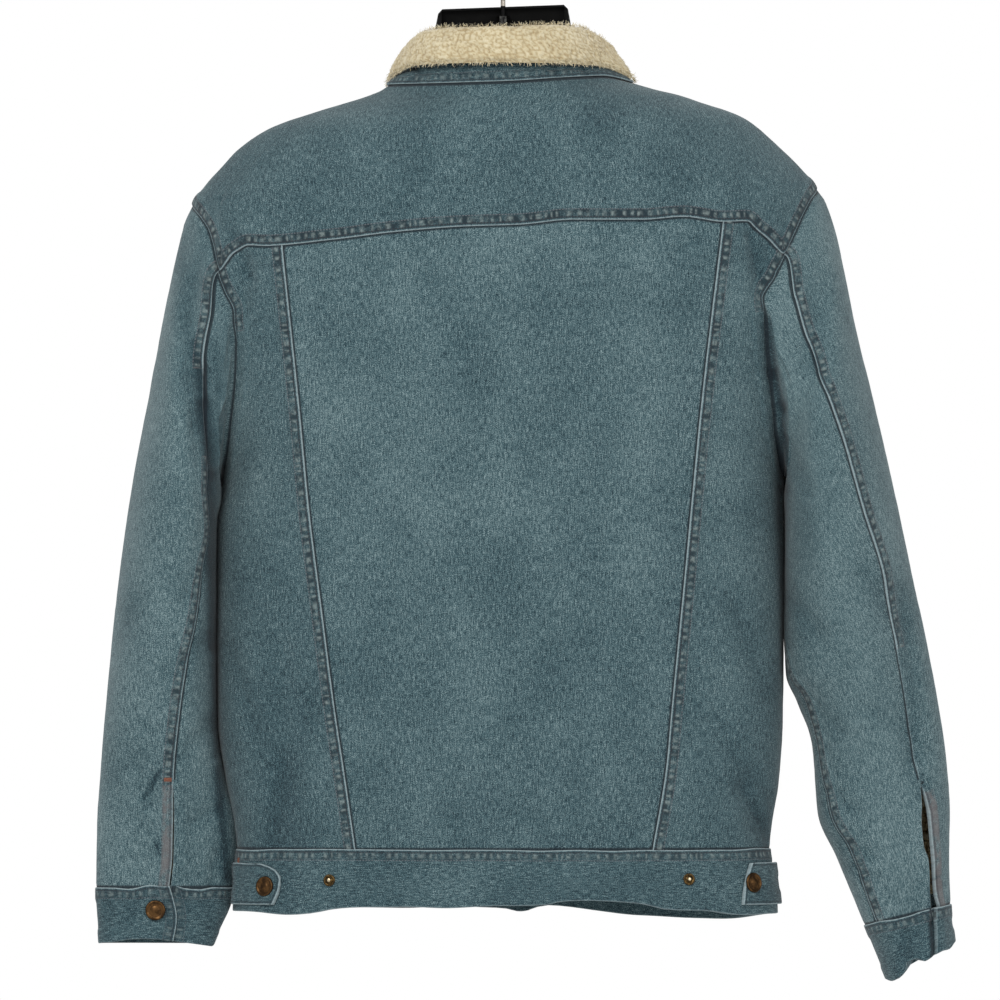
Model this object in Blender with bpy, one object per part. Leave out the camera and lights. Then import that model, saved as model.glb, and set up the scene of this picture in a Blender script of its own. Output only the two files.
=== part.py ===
"""A sherpa lined denim jacket, buttoned up and filled out, on a broad plastic hanger with a steel hook.

Run with: blender --background --python part.py

Lengths in the tables are millimetres and angles are degrees. The objects are in metres, +Z up.
The origin is where a rail carries the hook. The wearer's left is +X and the back faces +Y.
A place on the body is an angle and a level. The angle is 0 at the wearer's left side, 90 at the
centre back, 180 at the right side and 270 at the centre front. The level is the height at the back;
the front of each ring hangs lower by its row's drop.
"""

import math

import bmesh
import bpy
import numpy as np

MM = 0.001

# Walls and seams
BODY_WALL = 4.0  # denim with its sherpa lining
SLEEVE_WALL = 3.0
DENIM = 1.5
SHERPA = 5.2
SEAM_GAP = 0.3
HALF_GAP = SEAM_GAP / 2
LAY_ON = 0.5  # between a panel and what is sewn on it

# Levels of the body
WAIST_SEAM = -767.0
HEM = -815.0
SIDE_SEAM_TURN = -12.0  # the side seam drifts this far towards the front on its way to the waist

# Front closure, as distances from the centre front
PLACKET_HALF = 21.0
FACING_RIGHT = -36.0
FACING_LEFT = 17.0
FACING_WALL = 2.0
UNDER_GAP = 0.9
FRONT_BUTTONS = 6  # five down the placket and one on the waistband


class Table:
    """Rows of named columns. Between rows, each column follows a curve that never overshoots."""

    def __init__(self, columns, rows):
        rows = sorted(rows)
        self.columns = dict(zip(columns.split(), np.array(rows, float).T))
        self.knots = np.array([row[0] for row in rows], float)

    def read(self, column, place):
        return smooth_read(self.knots, self.columns[column], place)


def smooth_read(knots, values, place):
    """A monotone cubic through the values, level past both ends."""
    knots = np.asarray(knots, float)
    values = np.asarray(values, float)
    place = np.clip(np.asarray(place, float), knots[0], knots[-1])
    gaps = np.diff(knots)
    slopes = np.diff(values) / gaps
    product = slopes[1:] * slopes[:-1]
    total = slopes[1:] + slopes[:-1]
    middle = np.where(product > 0, 2 * product / np.where(total == 0, 1, total), 0)
    tangents = np.concatenate([slopes[:1], middle, slopes[-1:]])
    index = np.clip(np.searchsorted(knots, place, side="right") - 1, 0, len(gaps) - 1)
    t = (place - knots[index]) / gaps[index]
    start = values[index] * (1 + 2 * t) * (1 - t) ** 2
    end = values[index + 1] * t**2 * (3 - 2 * t)
    bend = tangents[index] * t * (1 - t) ** 2 - tangents[index + 1] * t**2 * (1 - t)
    return start + end + bend * gaps[index]


def smooth_step(value):
    value = np.clip(value, 0, 1)
    return value * value * (3 - 2 * value)


def unit(vectors):
    return vectors / np.linalg.norm(vectors, axis=-1, keepdims=True)


# ---------------------------------------------------------------- the body's surface

# left, right: half widths. back, front: half depths. full: how square the ring is.
BODY_RINGS = Table(
    "level left right back front full drop",
    [
        (-126, 84, 92, 58, 66, -0.12, 66),
        (-135, 93, 106, 63, 72, -0.13, 65),
        (-139.5, 97, 121, 66, 74, -0.14, 62),
        (-146, 111, 147, 69, 76, -0.15, 56),
        (-152, 130, 165, 73, 78, -0.15, 50),
        (-158, 150, 184, 76, 80, -0.14, 45),
        (-166, 175, 201, 80, 82, -0.12, 38),
        (-174, 194.5, 212, 83, 84, -0.10, 32),
        (-190.5, 218.5, 230, 88, 87, -0.06, 22),
        (-207, 234, 246.5, 92, 90, -0.02, 14),
        (-222, 247, 258, 94, 92, 0.02, 9),
        (-235, 255.5, 260.5, 96, 93, 0.05, 6),
        (-262, 257, 261, 98, 95, 0.08, 4),
        (-290, 256, 257.5, 100, 96, 0.09, 4),
        (-337, 250, 247.5, 101, 97, 0.10, 4),
        (-400, 240, 237.5, 100, 97, 0.10, 4),
        (-461, 230, 231, 98, 97, 0.09, 4),
        (-500, 236, 230.5, 96, 96, 0.09, 4),
        (-580, 236.5, 230.5, 93, 95, 0.08, 5),
        (-660, 235, 230, 89, 92, 0.08, 7),
        (-712, 228, 227, 86, 89, 0.07, 8),
        (-746, 221.5, 221.5, 84, 86, 0.07, 9),
        (-767, 219.5, 220, 83, 85, 0.07, 9),
        (-778, 220.5, 221.5, 84, 86, 0.07, 9),
        (-815, 222, 225.5, 86, 88, 0.07, 10),
        (-830, 222, 225.5, 86, 88, 0.07, 10),
    ],
)

# The largest folds, as troughs between two points of the back or the front.
# Each row holds x1, z1, x2, z2, the depth and the reach to each side.
BACK_FOLDS = [
    (212, -289, 218, -318, 4, 9),  # from the back armhole towards the yoke
    (-207, -257, -214, -309, 4, 9),
    (262, -262, 254, -372, 7, 13),  # the sleeve falls in under the shoulder
    (252, -380, 245, -440, 6, 12),
    (-262, -300, -256, -372, 5, 13),
    (-236, -425, -252, -595, 4, 14),  # down the inner back of the right sleeve
    (-325, -555, -340, -690, 6, 16),  # beside the right elbow seam
    (187, -600, 182, -780, 4, 16),  # down the left side panel
    (-198, -716, -220, -765, 4, 12),
]
FRONT_FOLDS = [
    (214, -280, 200, -340, 4, 10),
    (-214, -280, -200, -340, 4, 10),
    (262, -290, 250, -420, 6, 13),
    (-262, -290, -252, -420, 6, 13),
    (300, -560, 262, -600, 5, 14),
    (-322, -570, -268, -600, 5, 14),
    (150, -560, 165, -740, 4, 18),
    (-140, -600, -160, -750, 4, 18),
]


def trough(x, z, folds):
    """How far the folds press the surface in at a place seen from the back or the front."""
    pressed = np.zeros(np.shape(x))
    for x1, z1, x2, z2, depth, reach in folds:
        run_x = x2 - x1
        run_z = z2 - z1
        along = ((x - x1) * run_x + (z - z1) * run_z) / (run_x**2 + run_z**2)
        along = np.clip(along, 0, 1)
        apart = (x - x1 - along * run_x) ** 2 + (z - z1 - along * run_z) ** 2
        pressed += depth * np.exp(-apart / reach**2)
    return pressed


def plain_body(angle, level):
    """The body's ring surface without its folds."""
    angle, level = np.broadcast_arrays(np.asarray(angle, float), np.asarray(level, float))
    c = np.cos(np.radians(angle))
    s = np.sin(np.radians(angle))
    half = np.where(c >= 0, BODY_RINGS.read("left", level), BODY_RINGS.read("right", level))
    depth = np.where(s >= 0, BODY_RINGS.read("back", level), BODY_RINGS.read("front", level))
    full = BODY_RINGS.read("full", level)
    front_share = np.clip(-s, 0, 1) ** 2
    x = half * c * (1 + full * s * s)
    y = depth * s * (1 + full * c * c)
    z = level - BODY_RINGS.read("drop", level) * front_share
    return np.stack([x, y, z], axis=-1)


def body_point(angle, level):
    point = plain_body(angle, level)
    s = np.sin(np.radians(np.asarray(angle, float)))
    back = trough(point[..., 0], point[..., 2], BACK_FOLDS) * smooth_step(2.5 * s)
    front = trough(point[..., 0], point[..., 2], FRONT_FOLDS) * smooth_step(-2.5 * s)
    inward = unit(point * (1, 1, 0) + (0, 1e-6, 0))
    return point - inward * (back + front)[..., None]


def body_normal(angle, level):
    step = 0.5
    round_ = body_point(np.asarray(angle) + step, level) - body_point(np.asarray(angle) - step, level)
    up = body_point(angle, np.asarray(level) + step) - body_point(angle, np.asarray(level) - step)
    return unit(np.cross(round_, up))


def back_angle(x, level):
    """The angle at which the back half of a ring reaches x."""
    x = np.asarray(x)
    half = np.where(x >= 0, BODY_RINGS.read("left", level), BODY_RINGS.read("right", level))
    full = BODY_RINGS.read("full", level)
    target = x / half
    c = target
    for _ in range(8):
        c = np.clip(target / (1 + full * (1 - c * c)), -1, 1)
    return np.degrees(np.arccos(c))


# ---------------------------------------------------------------- seam lines on the body

YOKE_SEAM = Table(
    "x level",
    [
        (234, -290.3),
        (221, -274.6),
        (209, -268.9),
        (195, -269.7),
        (141, -264.8),
        (87, -258.2),
        (34, -254),
        (-14, -252.4),
        (-57, -248.3),
        (-114, -248.3),
        (-147.5, -245.8),
        (-181, -249.9),
        (-202, -249.1),
        (-213.5, -258.2),
        (-231.5, -276.3),
    ],
)

# Where the slanting back seams cross each level
BACK_SEAMS = Table(
    "level left right",
    [
        (-245, 184, -182),
        (-269.7, 182, -179),
        (-331, 175.5, -171.5),
        (-403, 168, -163.2),
        (-487, 160, -155),
        (-566, 150, -147.5),
        (-655, 138.4, -138.8),
        (-697, 132, -135),
        (-766, 122, -123.6),
    ],
)

# Each armhole's back edge, from the shoulder tip to the armpit
ARMHOLE_COLUMNS = "level x"
ARMHOLES = {
    "left": Table(
        ARMHOLE_COLUMNS,
        [
            (-235, 255.5),
            (-243, 250.5),
            (-258, 241.4),
            (-275, 236.5),
            (-290.3, 234),
            (-306, 229),
            (-330, 220.8),
            (-350, 218),
            (-380, 219),
            (-410, 222),
            (-440, 226),
            (-461, 230),
        ],
    ),
    "right": Table(
        ARMHOLE_COLUMNS,
        [
            (-222, -258),
            (-229, -254),
            (-245, -245.6),
            (-256, -240.6),
            (-276.3, -231.5),
            (-294, -224),
            (-320, -214.2),
            (-345, -215),
            (-380, -218),
            (-410, -222),
            (-440, -227),
            (-461, -231),
        ],
    ),
}
ARMPIT = -461.0
SHOULDER_TIP = {"left": -235.0, "right": -222.0}
JUNCTION = {"left": -290.3, "right": -276.3}  # where the yoke seam meets the armhole
FRONT_YOKE_AT_ARMHOLE = {"left": -268.0, "right": -256.0}
FRONT_YOKE_AT_NECK_TURN = 38.0
FRONT_ARMHOLE_SHARE = 0.95  # how far the front edge is cut in, beside the back edge

NECK_SEAM = Table(
    "angle level",
    [
        (-90, -135),
        (-38, -135),
        (0, -137),
        (45, -136.5),
        (90, -135),
        (125, -131.5),
        (150, -130),
        (180, -135),
        (218, -135),
        (270, -135),
    ],
)
FRONT_NECK = -135.0


def side_angle(side, turn):
    """The body angle that is so many degrees from a side, positive towards the back."""
    return turn if side == "left" else 180 - turn


def armhole_turn(side, level):
    angle = back_angle(ARMHOLES[side].read("x", level), level)
    turn = angle if side == "left" else 180 - angle
    return turn * smooth_step((SHOULDER_TIP[side] - np.asarray(level, float)) / 6)


def outer_turn(side, level, facing):
    """The armhole above the armpit, the side seam below it. facing is 1 for the back, -1 for the front."""
    level = np.asarray(level, float)
    cut_in = armhole_turn(side, np.clip(level, ARMPIT, SHOULDER_TIP[side]))
    share = 1 if facing > 0 else FRONT_ARMHOLE_SHARE
    seam = SIDE_SEAM_TURN * smooth_step((ARMPIT - level) / (ARMPIT - HEM))
    return np.where(level > ARMPIT, facing * share * cut_in, seam)


def front_yoke_turn(side, level):
    """The front yoke seam, from the armhole up to the neck."""
    at_armhole = FRONT_YOKE_AT_ARMHOLE[side]
    start = outer_turn(side, at_armhole, -1)
    share = (np.asarray(level, float) - at_armhole) / (NECK_SEAM.read("level", -45) - at_armhole)
    return start + (-FRONT_YOKE_AT_NECK_TURN - start) * np.clip(share, 0, 1)


def front_outer_turn(side, level):
    """The front panel's outer edge: side seam, then armhole, then yoke seam."""
    level = np.asarray(level, float)
    below = outer_turn(side, level, -1)
    return np.where(level > FRONT_YOKE_AT_ARMHOLE[side], front_yoke_turn(side, level), below)


def yoke_edge_knots():
    """The yoke's lower edge as rows of angle and level, from the left front round the back."""
    across_back = sorted(zip(YOKE_SEAM.knots, YOKE_SEAM.columns["level"]), reverse=True)[1:-1]
    middle = [(float(back_angle(x, level)), level) for x, level in across_back]
    return np.array(armhole_knots("left") + middle + armhole_knots("right")[::-1])


def armhole_knots(side):
    """The yoke's edge round the top of one armhole, from the front yoke seam to the back one."""
    tip = SHOULDER_TIP[side]
    knots = []
    for level in np.linspace(FRONT_YOKE_AT_ARMHOLE[side], tip, 9):
        knots.append((side_angle(side, float(outer_turn(side, level, -1))), level))
    for level in np.linspace(tip, JUNCTION[side], 13)[1:]:
        knots.append((side_angle(side, float(outer_turn(side, level, 1))), level))
    return knots


YOKE_EDGE = yoke_edge_knots()


def yoke_edge_level(angle):
    return smooth_read(YOKE_EDGE[:, 0], YOKE_EDGE[:, 1], angle)


def below_yoke_level(angle):
    """The yoke seam as the panels under it see it: level past the armholes."""
    ends = [side_angle(side, float(armhole_turn(side, JUNCTION[side]))) for side in ("left", "right")]
    return yoke_edge_level(np.clip(angle, *ends))


def back_seam_angle(side, level):
    return back_angle(BACK_SEAMS.read(side, level), level)


def front_angle(x, level):
    return 360 - back_angle(x, level)


# ---------------------------------------------------------------- patches and walls


class Patch:
    """A region of the body between two edges that depend on level and two that depend on angle."""

    def __init__(self, first, last, bottom, top):
        self.first = first
        self.last = last
        self.bottom = bottom
        self.top = top

    def grid(self, across, upward):
        """Angles and levels at each share across and upward, as arrays of rows by columns."""
        across, upward = np.meshgrid(across, upward)
        level = np.full(across.shape, -400.0)
        for _ in range(30):
            angle = self.first(level) + across * (self.last(level) - self.first(level))
            level = self.bottom(angle) + upward * (self.top(angle) - self.bottom(angle))
        return angle, level


def even(count):
    return np.linspace(0, 1, count + 1)


def at_level(level):
    """An edge that stays on one level."""
    return lambda angle: level + 0 * angle


def parted(points, gap):
    """The grid with each edge drawn in by a gap, along the surface."""
    points = points.copy()
    inner = points.copy()
    inner[0] += gap * unit(points[1] - points[0])
    inner[-1] += gap * unit(points[-2] - points[-1])
    points[:, 0] = inner[:, 0] + gap * unit(points[:, 1] - points[:, 0])
    points[:, -1] = inner[:, -1] + gap * unit(points[:, -2] - points[:, -1])
    points[:, 1:-1] = inner[:, 1:-1]
    return points


def wall_object(name, outer, inner, material, joined_round=False):
    """A closed wall between two grids of points, given in millimetres."""
    rows, columns = outer.shape[:2]
    count = rows * columns
    last = columns if joined_round else columns - 1
    faces = []

    def quad(i, j, layer):
        right = (j + 1) % columns
        low = i * columns
        high = low + columns
        return [corner + layer * count for corner in (low + j, low + right, high + right, high + j)]

    for i in range(rows - 1):
        for j in range(last):
            faces.append(quad(i, j, 0))
            faces.append(quad(i, j, 1)[::-1])
    rims = []
    for j in range(last):
        right = (j + 1) % columns
        rims.append((right, j))
        rims.append(((rows - 1) * columns + j, (rows - 1) * columns + right))
    if not joined_round:
        for i in range(rows - 1):
            rims.append((i * columns, (i + 1) * columns))
            rims.append(((i + 1) * columns + last, i * columns + last))
    for start, end in rims:
        faces.append([start, end, end + count, start + count])
    points = np.concatenate([outer.reshape(-1, 3), inner.reshape(-1, 3)]) * MM
    return mesh_object(name, points, faces, material)


def mesh_object(name, points, faces, material):
    mesh = bpy.data.meshes.new(name)
    mesh.from_pydata([tuple(point) for point in points], [], [tuple(face) for face in faces])
    shaped = bmesh.new()
    shaped.from_mesh(mesh)
    bmesh.ops.triangulate(shaped, faces=shaped.faces[:], quad_method="SHORT_EDGE")
    bmesh.ops.recalc_face_normals(shaped, faces=shaped.faces[:])
    if shaped.calc_volume(signed=True) < 0:
        bmesh.ops.reverse_faces(shaped, faces=shaped.faces[:])
    shaped.to_mesh(mesh)
    shaped.free()
    mesh.shade_smooth()
    mesh.set_sharp_from_angle(angle=math.radians(40))
    mesh.materials.append(MATERIALS[material])
    item = bpy.data.objects.new(name, mesh)
    bpy.context.scene.collection.objects.link(item)
    return item


def body_wall(name, patch, across, upward, material="denim", raised=0.0, wall=BODY_WALL):
    """A panel of the body. raised moves it out from the body's surface."""
    angle, level = patch.grid(across, upward)
    normal = body_normal(angle, level)
    outer = parted(body_point(angle, level) + raised * normal, HALF_GAP)
    return wall_object(name, outer, outer - wall * normal, material)


def new_material(name, colour, roughness, metallic=0.0):
    material = bpy.data.materials.new(name)
    material.use_nodes = True
    shader = material.node_tree.nodes["Principled BSDF"]
    shader.inputs["Base Color"].default_value = (*colour, 1)
    shader.inputs["Roughness"].default_value = roughness
    shader.inputs["Metallic"].default_value = metallic
    material.diffuse_color = (*colour, 1)
    return material


# ---------------------------------------------------------------- body pieces

YOKE_ROWS = 8
ARM_ROWS = 6
LOWER_ROWS = 9
FRONT_ARM_ROWS = 7
BACK_TIP_STEPS = 5
FRONT_TIP_STEPS = 3
SIDE_COLUMNS = 4
CENTRE_COLUMNS = 10
FRONT_COLUMNS = 6
PLACKET_COLUMNS = 4
WAISTBAND_ROWS = 2
WAISTBAND_BACK_COLUMNS = 20
WAISTBAND_RIGHT_COLUMNS = 9
WAISTBAND_LEFT_COLUMNS = 11


def shares_through(bottom, middle, top, lower_count, upper_count):
    """Shares from bottom to top that pass through a middle level."""
    middle_share = (middle - bottom) / (top - bottom)
    lower = np.linspace(0, middle_share, lower_count + 1)
    upper = np.linspace(middle_share, 1, upper_count + 1)
    return np.concatenate([lower, upper[1:]])


def side_patch(side):
    first = lambda level: side_angle(side, outer_turn(side, level, 1))
    last = lambda level: back_seam_angle(side, level)
    if side == "right":
        first, last = last, first
    return Patch(first, last, at_level(WAIST_SEAM), below_yoke_level)


def side_rows(side):
    return shares_through(WAIST_SEAM, ARMPIT, JUNCTION[side], LOWER_ROWS, ARM_ROWS)


def centre_patch():
    return Patch(
        lambda level: back_seam_angle("left", level),
        lambda level: back_seam_angle("right", level),
        at_level(WAIST_SEAM),
        below_yoke_level,
    )


def front_patch(side):
    """From the placket's edge to the side; the top follows the neck seam, then the front yoke seam."""
    edge = PLACKET_HALF if side == "left" else -PLACKET_HALF
    centre = lambda level: front_angle(edge, level)
    outer = lambda level: side_angle(side, front_outer_turn(side, level))
    if side == "left":
        first, last = centre, lambda level: outer(level) + 360
    else:
        first, last = outer, centre
    return Patch(first, last, at_level(WAIST_SEAM), at_level(FRONT_NECK))


def front_levels(side):
    """Levels through the armpit and the point where the yoke seam leaves the armhole."""
    at_armhole = FRONT_YOKE_AT_ARMHOLE[side]
    return np.concatenate(
        [
            np.linspace(WAIST_SEAM, ARMPIT, LOWER_ROWS + 1),
            np.linspace(ARMPIT, at_armhole, FRONT_ARM_ROWS + 1)[1:],
            np.linspace(at_armhole, FRONT_NECK, YOKE_ROWS + 1)[1:],
        ]
    )


def shares(levels):
    return (levels - levels[0]) / (levels[-1] - levels[0])


def yoke_columns():
    """The yoke's lower edge, through every column of the panels below it and both shoulder tips."""
    angles = []
    for side in ("left", "right"):
        front = np.linspace(FRONT_YOKE_AT_ARMHOLE[side], SHOULDER_TIP[side], FRONT_TIP_STEPS + 1)
        back = np.linspace(SHOULDER_TIP[side], JUNCTION[side], BACK_TIP_STEPS + 1)
        turns = np.concatenate([outer_turn(side, front, -1), outer_turn(side, back, 1)[1:]])
        panel, _ = side_patch(side).grid(even(SIDE_COLUMNS), np.array([0.0, 1.0]))
        if side == "left":
            middle, _ = centre_patch().grid(even(CENTRE_COLUMNS), np.array([0.0, 1.0]))
            angles += list(side_angle(side, turns)) + list(panel[-1][1:]) + list(middle[-1][1:])
        else:
            angles += list(panel[-1][1:]) + list(side_angle(side, turns)[::-1][1:])
    return np.array(angles)


def yoke_patch():
    return Patch(
        lambda level: front_yoke_turn("left", level),
        lambda level: 180 - front_yoke_turn("right", level),
        yoke_edge_level,
        lambda angle: NECK_SEAM.read("level", angle),
    )


def yoke_shares(patch):
    angles = yoke_columns()
    levels = yoke_edge_level(angles)
    first = patch.first(levels)
    last = patch.last(levels)
    return np.clip((angles - first) / (last - first), 0, 1)


def build_body():
    yoke = yoke_patch()
    body_wall("back_yoke", yoke, yoke_shares(yoke), even(YOKE_ROWS))
    body_wall("back_centre", centre_patch(), even(CENTRE_COLUMNS), side_rows("left"))
    for side in ("left", "right"):
        body_wall("back_side_" + side, side_patch(side), even(SIDE_COLUMNS), side_rows(side))
        body_wall("front_" + side, front_patch(side), even(FRONT_COLUMNS), shares(front_levels(side)))


def placket_patch():
    return Patch(
        lambda level: front_angle(-PLACKET_HALF, level),
        lambda level: front_angle(PLACKET_HALF, level),
        at_level(WAIST_SEAM),
        at_level(FRONT_NECK),
    )


def build_closure():
    """The left placket closes over a facing that reaches under both fronts, down to the hem."""
    levels = front_levels("left")
    body_wall("placket_left", placket_patch(), even(PLACKET_COLUMNS), shares(levels))
    facing = Patch(
        lambda level: front_angle(FACING_RIGHT, level),
        lambda level: front_angle(FACING_LEFT, level),
        at_level(HEM),
        at_level(FRONT_NECK),
    )
    band = np.linspace(HEM, WAIST_SEAM, WAISTBAND_ROWS + 1)[:-1]
    body_wall(
        "placket_right",
        facing,
        even(PLACKET_COLUMNS),
        shares(np.concatenate([band, levels])),
        raised=-BODY_WALL - UNDER_GAP,
        wall=FACING_WALL,
    )


def build_waistband():
    """Three stretches: the back, and two fronts that meet at the placket's right edge."""
    left_seam = lambda level: side_angle("left", outer_turn("left", level, 1))
    right_seam = lambda level: side_angle("right", outer_turn("right", level, 1))
    left_again = lambda level: left_seam(level) + 360
    closing = lambda level: front_angle(-PLACKET_HALF, level)
    stretches = {
        "waistband_back": (left_seam, right_seam, WAISTBAND_BACK_COLUMNS),
        "waistband_right": (right_seam, closing, WAISTBAND_RIGHT_COLUMNS),
        "waistband_left": (closing, left_again, WAISTBAND_LEFT_COLUMNS),
    }
    for name, (first, last, columns) in stretches.items():
        patch = Patch(first, last, at_level(HEM), at_level(WAIST_SEAM))
        body_wall(name, patch, even(columns), even(WAISTBAND_ROWS))


# ---------------------------------------------------------------- waist tabs

TAB_WALL = 2.0
TAB_SIDE_TURN = {"left": 8.0, "right": -5.0}
TAB_ENDS = {
    "left": Table("level x", [(-813, 189), (-800, 184.6), (-793, 184.6), (-783, 190), (-778, 200)]),
    "right": Table("level x", [(-814, -196), (-800, -197.5), (-782, -201.5), (-778, -203)]),
}
TAB_TOP = -778.5
TAB_BOTTOM = -811.0


def tab_patch(side):
    near = lambda level: side_angle(side, TAB_SIDE_TURN[side]) + 0 * level
    end = lambda level: back_angle(TAB_ENDS[side].read("x", level), level)
    if side == "right":
        near, end = end, near
    return Patch(near, end, at_level(TAB_BOTTOM), at_level(TAB_TOP))


def build_tabs():
    for side in ("left", "right"):
        raised = LAY_ON + TAB_WALL
        body_wall("waist_tab_" + side, tab_patch(side), even(6), even(4), raised=raised, wall=TAB_WALL)


# ---------------------------------------------------------------- sleeves and cuffs

# Each row is a ring round the sleeve. outer and inner: its ends seen from the back. back, front: half
# depths. middle: how far it stands back. dish: how far the ring curves in at its back and front.
# elbow, inseam: the angles of the two seams, from the outer end over the back.
SLEEVE_COLUMNS = "row outer_x outer_z inner_x inner_z back front middle dish elbow inseam"
SLEEVES = {
    "left": Table(
        SLEEVE_COLUMNS,
        [
            (0, 255.5, -235, 230, -461, 48, 47, 0, -25, 60, 202),
            (1, 262, -251.6, 231.5, -466, 61, 60, 0, -13, 73, 202),
            (2, 268, -273, 235, -472, 69, 68, 0, -5, 85, 202),
            (3, 277.3, -316, 237, -482, 75, 74, 0, 0, 119, 202),
            (4, 285, -357, 237.5, -497, 78, 77, 0, 0, 130, 202),
            (5, 293.3, -401.5, 237.4, -518, 78, 77, -1, 0, 138, 202),
            (6, 305, -462.5, 237.3, -549, 73, 73, -2, 0, 131, 202),
            (7, 314, -522.7, 237.2, -590, 66, 66, -3, 0, 123, 202),
            (8, 322.2, -594.4, 236.5, -640, 58, 58, -4, 0, 111, 203),
            (9, 327.5, -648.7, 234, -677, 50, 50, -5, 0, 105, 204),
            (10, 331.7, -701.5, 229, -712, 41, 42, -6, 0, 98, 205),
            (11, 334.5, -742.7, 223.2, -745, 32, 34, -7, 0, 94, 206),
            (12, 335.4, -799, 223.5, -799, 24, 26, -8, 0, 93, 206),
            (13, 332.9, -843.5, 238.5, -844, 22, 24, -8, 0, 88, 206),
        ],
    ),
    "right": Table(
        SLEEVE_COLUMNS,
        [
            (0, -258, -222, -231, -461, 48, 47, 0, 26, 60, 195),
            (1, -265, -234, -232.5, -465, 61, 60, 0, 14, 71, 195),
            (2, -273, -255, -234, -471, 69, 68, 0, 5, 81.5, 195),
            (3, -281, -289.5, -235, -481, 74, 73, 0, 0, 83, 193),
            (4, -291, -339, -236, -496, 77, 76, 0, 0, 76, 190),
            (5, -303.5, -390, -236, -517, 77, 76, -1, 0, 70, 188),
            (6, -320.5, -463, -235, -549, 73, 72, -2, 0, 64, 184),
            (7, -335.5, -533.5, -235, -590, 64, 64, -3, 0, 55, 176),
            (8, -348, -591, -236.5, -622, 55, 56, -4, 0, 56, 162),
            (9, -357.5, -640, -245, -646, 47, 48, -5, 0, 58, 152),
            (10, -365, -690, -256.5, -683, 41, 42, -6, 0, 60, 155),
            (11, -368.3, -736, -259, -735, 39, 40, -7, 0, 49, 142),
            (12, -367.8, -775, -276, -776, 39, 40, -8, 0, 47, 133),
            (13, -369, -812.7, -298.3, -830, 38, 40, -9, 0, 52, 134),
            (14, -372.4, -842.4, -315.6, -872.9, 38, 39, -9, 0, 52, 134),
        ],
    ),
}
SLEEVE_FULL = 0.05
SLEEVE_STEPS = 1.5  # rings for each row of the table
VENT_ROWS = 2.0  # the vent is open over this many rows above the cuff
VENT_GAP = 1.2
CLEAR_OF_EDGE = 2.0  # each of the first two rings lies at least this much further into the armhole
SEAM_LOOK = 0.3  # rows looked past the cuff seam, so that both sides share their slope
CUFF_UNDERLAP = 14.0
CUFF_OVERLAP = 5.0
CUFF_STEP_IN = 30.0  # the under end has come back out by this far round


def armhole_loop(side):
    """The armhole's edge from the shoulder tip over the back to the armpit and up the front.

    It passes through the corners of every panel round it. Returns points, the body's normals there
    and the directions from the panels into the hole.
    """
    tip = SHOULDER_TIP[side]
    yoke_front = FRONT_YOKE_AT_ARMHOLE[side]
    _, panel = side_patch(side).grid(even(SIDE_COLUMNS), side_rows(side))
    panel_edge = panel[::-1, 0 if side == "left" else -1][:ARM_ROWS]
    back = np.concatenate([np.linspace(tip, JUNCTION[side], BACK_TIP_STEPS + 1)[:-1], panel_edge])
    front = np.concatenate(
        [
            np.linspace(ARMPIT, yoke_front, FRONT_ARM_ROWS + 1)[:-1],
            np.linspace(yoke_front, tip, FRONT_TIP_STEPS + 1)[:-1],
        ]
    )
    turns = np.concatenate([outer_turn(side, back, 1), outer_turn(side, front, -1)])
    levels = np.concatenate([back, front])
    angles = side_angle(side, turns)
    points = body_point(angles, levels)
    normals = body_normal(angles, levels)
    tangents = unit(np.roll(points, -1, axis=0) - np.roll(points, 1, axis=0))
    into = unit(np.cross(tangents, normals))
    away = np.sum(into * (points.mean(axis=0) - points), axis=-1)
    into[away < 0] *= -1
    return points, normals, into


ELBOW_COLUMN = BACK_TIP_STEPS
ARMPIT_COLUMN = BACK_TIP_STEPS + ARM_ROWS
INSEAM_COLUMN = ARMPIT_COLUMN + 1
LOOP_COLUMNS = ARMPIT_COLUMN + FRONT_ARM_ROWS + FRONT_TIP_STEPS


def plain_sleeve(side, row, angle):
    """A point of the sleeve's rings, before it is fitted to the armhole."""
    table = SLEEVES[side]
    value = {name: table.read(name, row) for name in table.columns}
    c = np.cos(np.radians(angle))
    s = np.sin(np.radians(angle))
    reach = c * (1 + SLEEVE_FULL * s * s)
    x = (value["outer_x"] + value["inner_x"]) / 2 + (value["outer_x"] - value["inner_x"]) / 2 * reach
    z = (value["outer_z"] + value["inner_z"]) / 2 + (value["outer_z"] - value["inner_z"]) / 2 * reach
    x = x + value["dish"] * s * s
    depth = np.where(s >= 0, value["back"], value["front"])
    y = value["middle"] + depth * s * (1 + SLEEVE_FULL * c * c)
    back = trough(x, z, BACK_FOLDS) * smooth_step(2.5 * s)
    front = trough(x, z, FRONT_FOLDS) * smooth_step(-2.5 * s)
    return np.stack([x, y - back + front, z], axis=-1)


def loop_angles(side, points):
    """The ring angle of each armhole point, from its height."""
    table = SLEEVES[side]
    top = table.columns["outer_z"][0]
    low = table.columns["inner_z"][0]
    turned = np.degrees(np.arccos(np.clip(2 * (points[:, 2] - low) / (top - low) - 1, -1, 1)))
    return np.where(np.arange(len(turned)) > ARMPIT_COLUMN, 360 - turned, turned)


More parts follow.
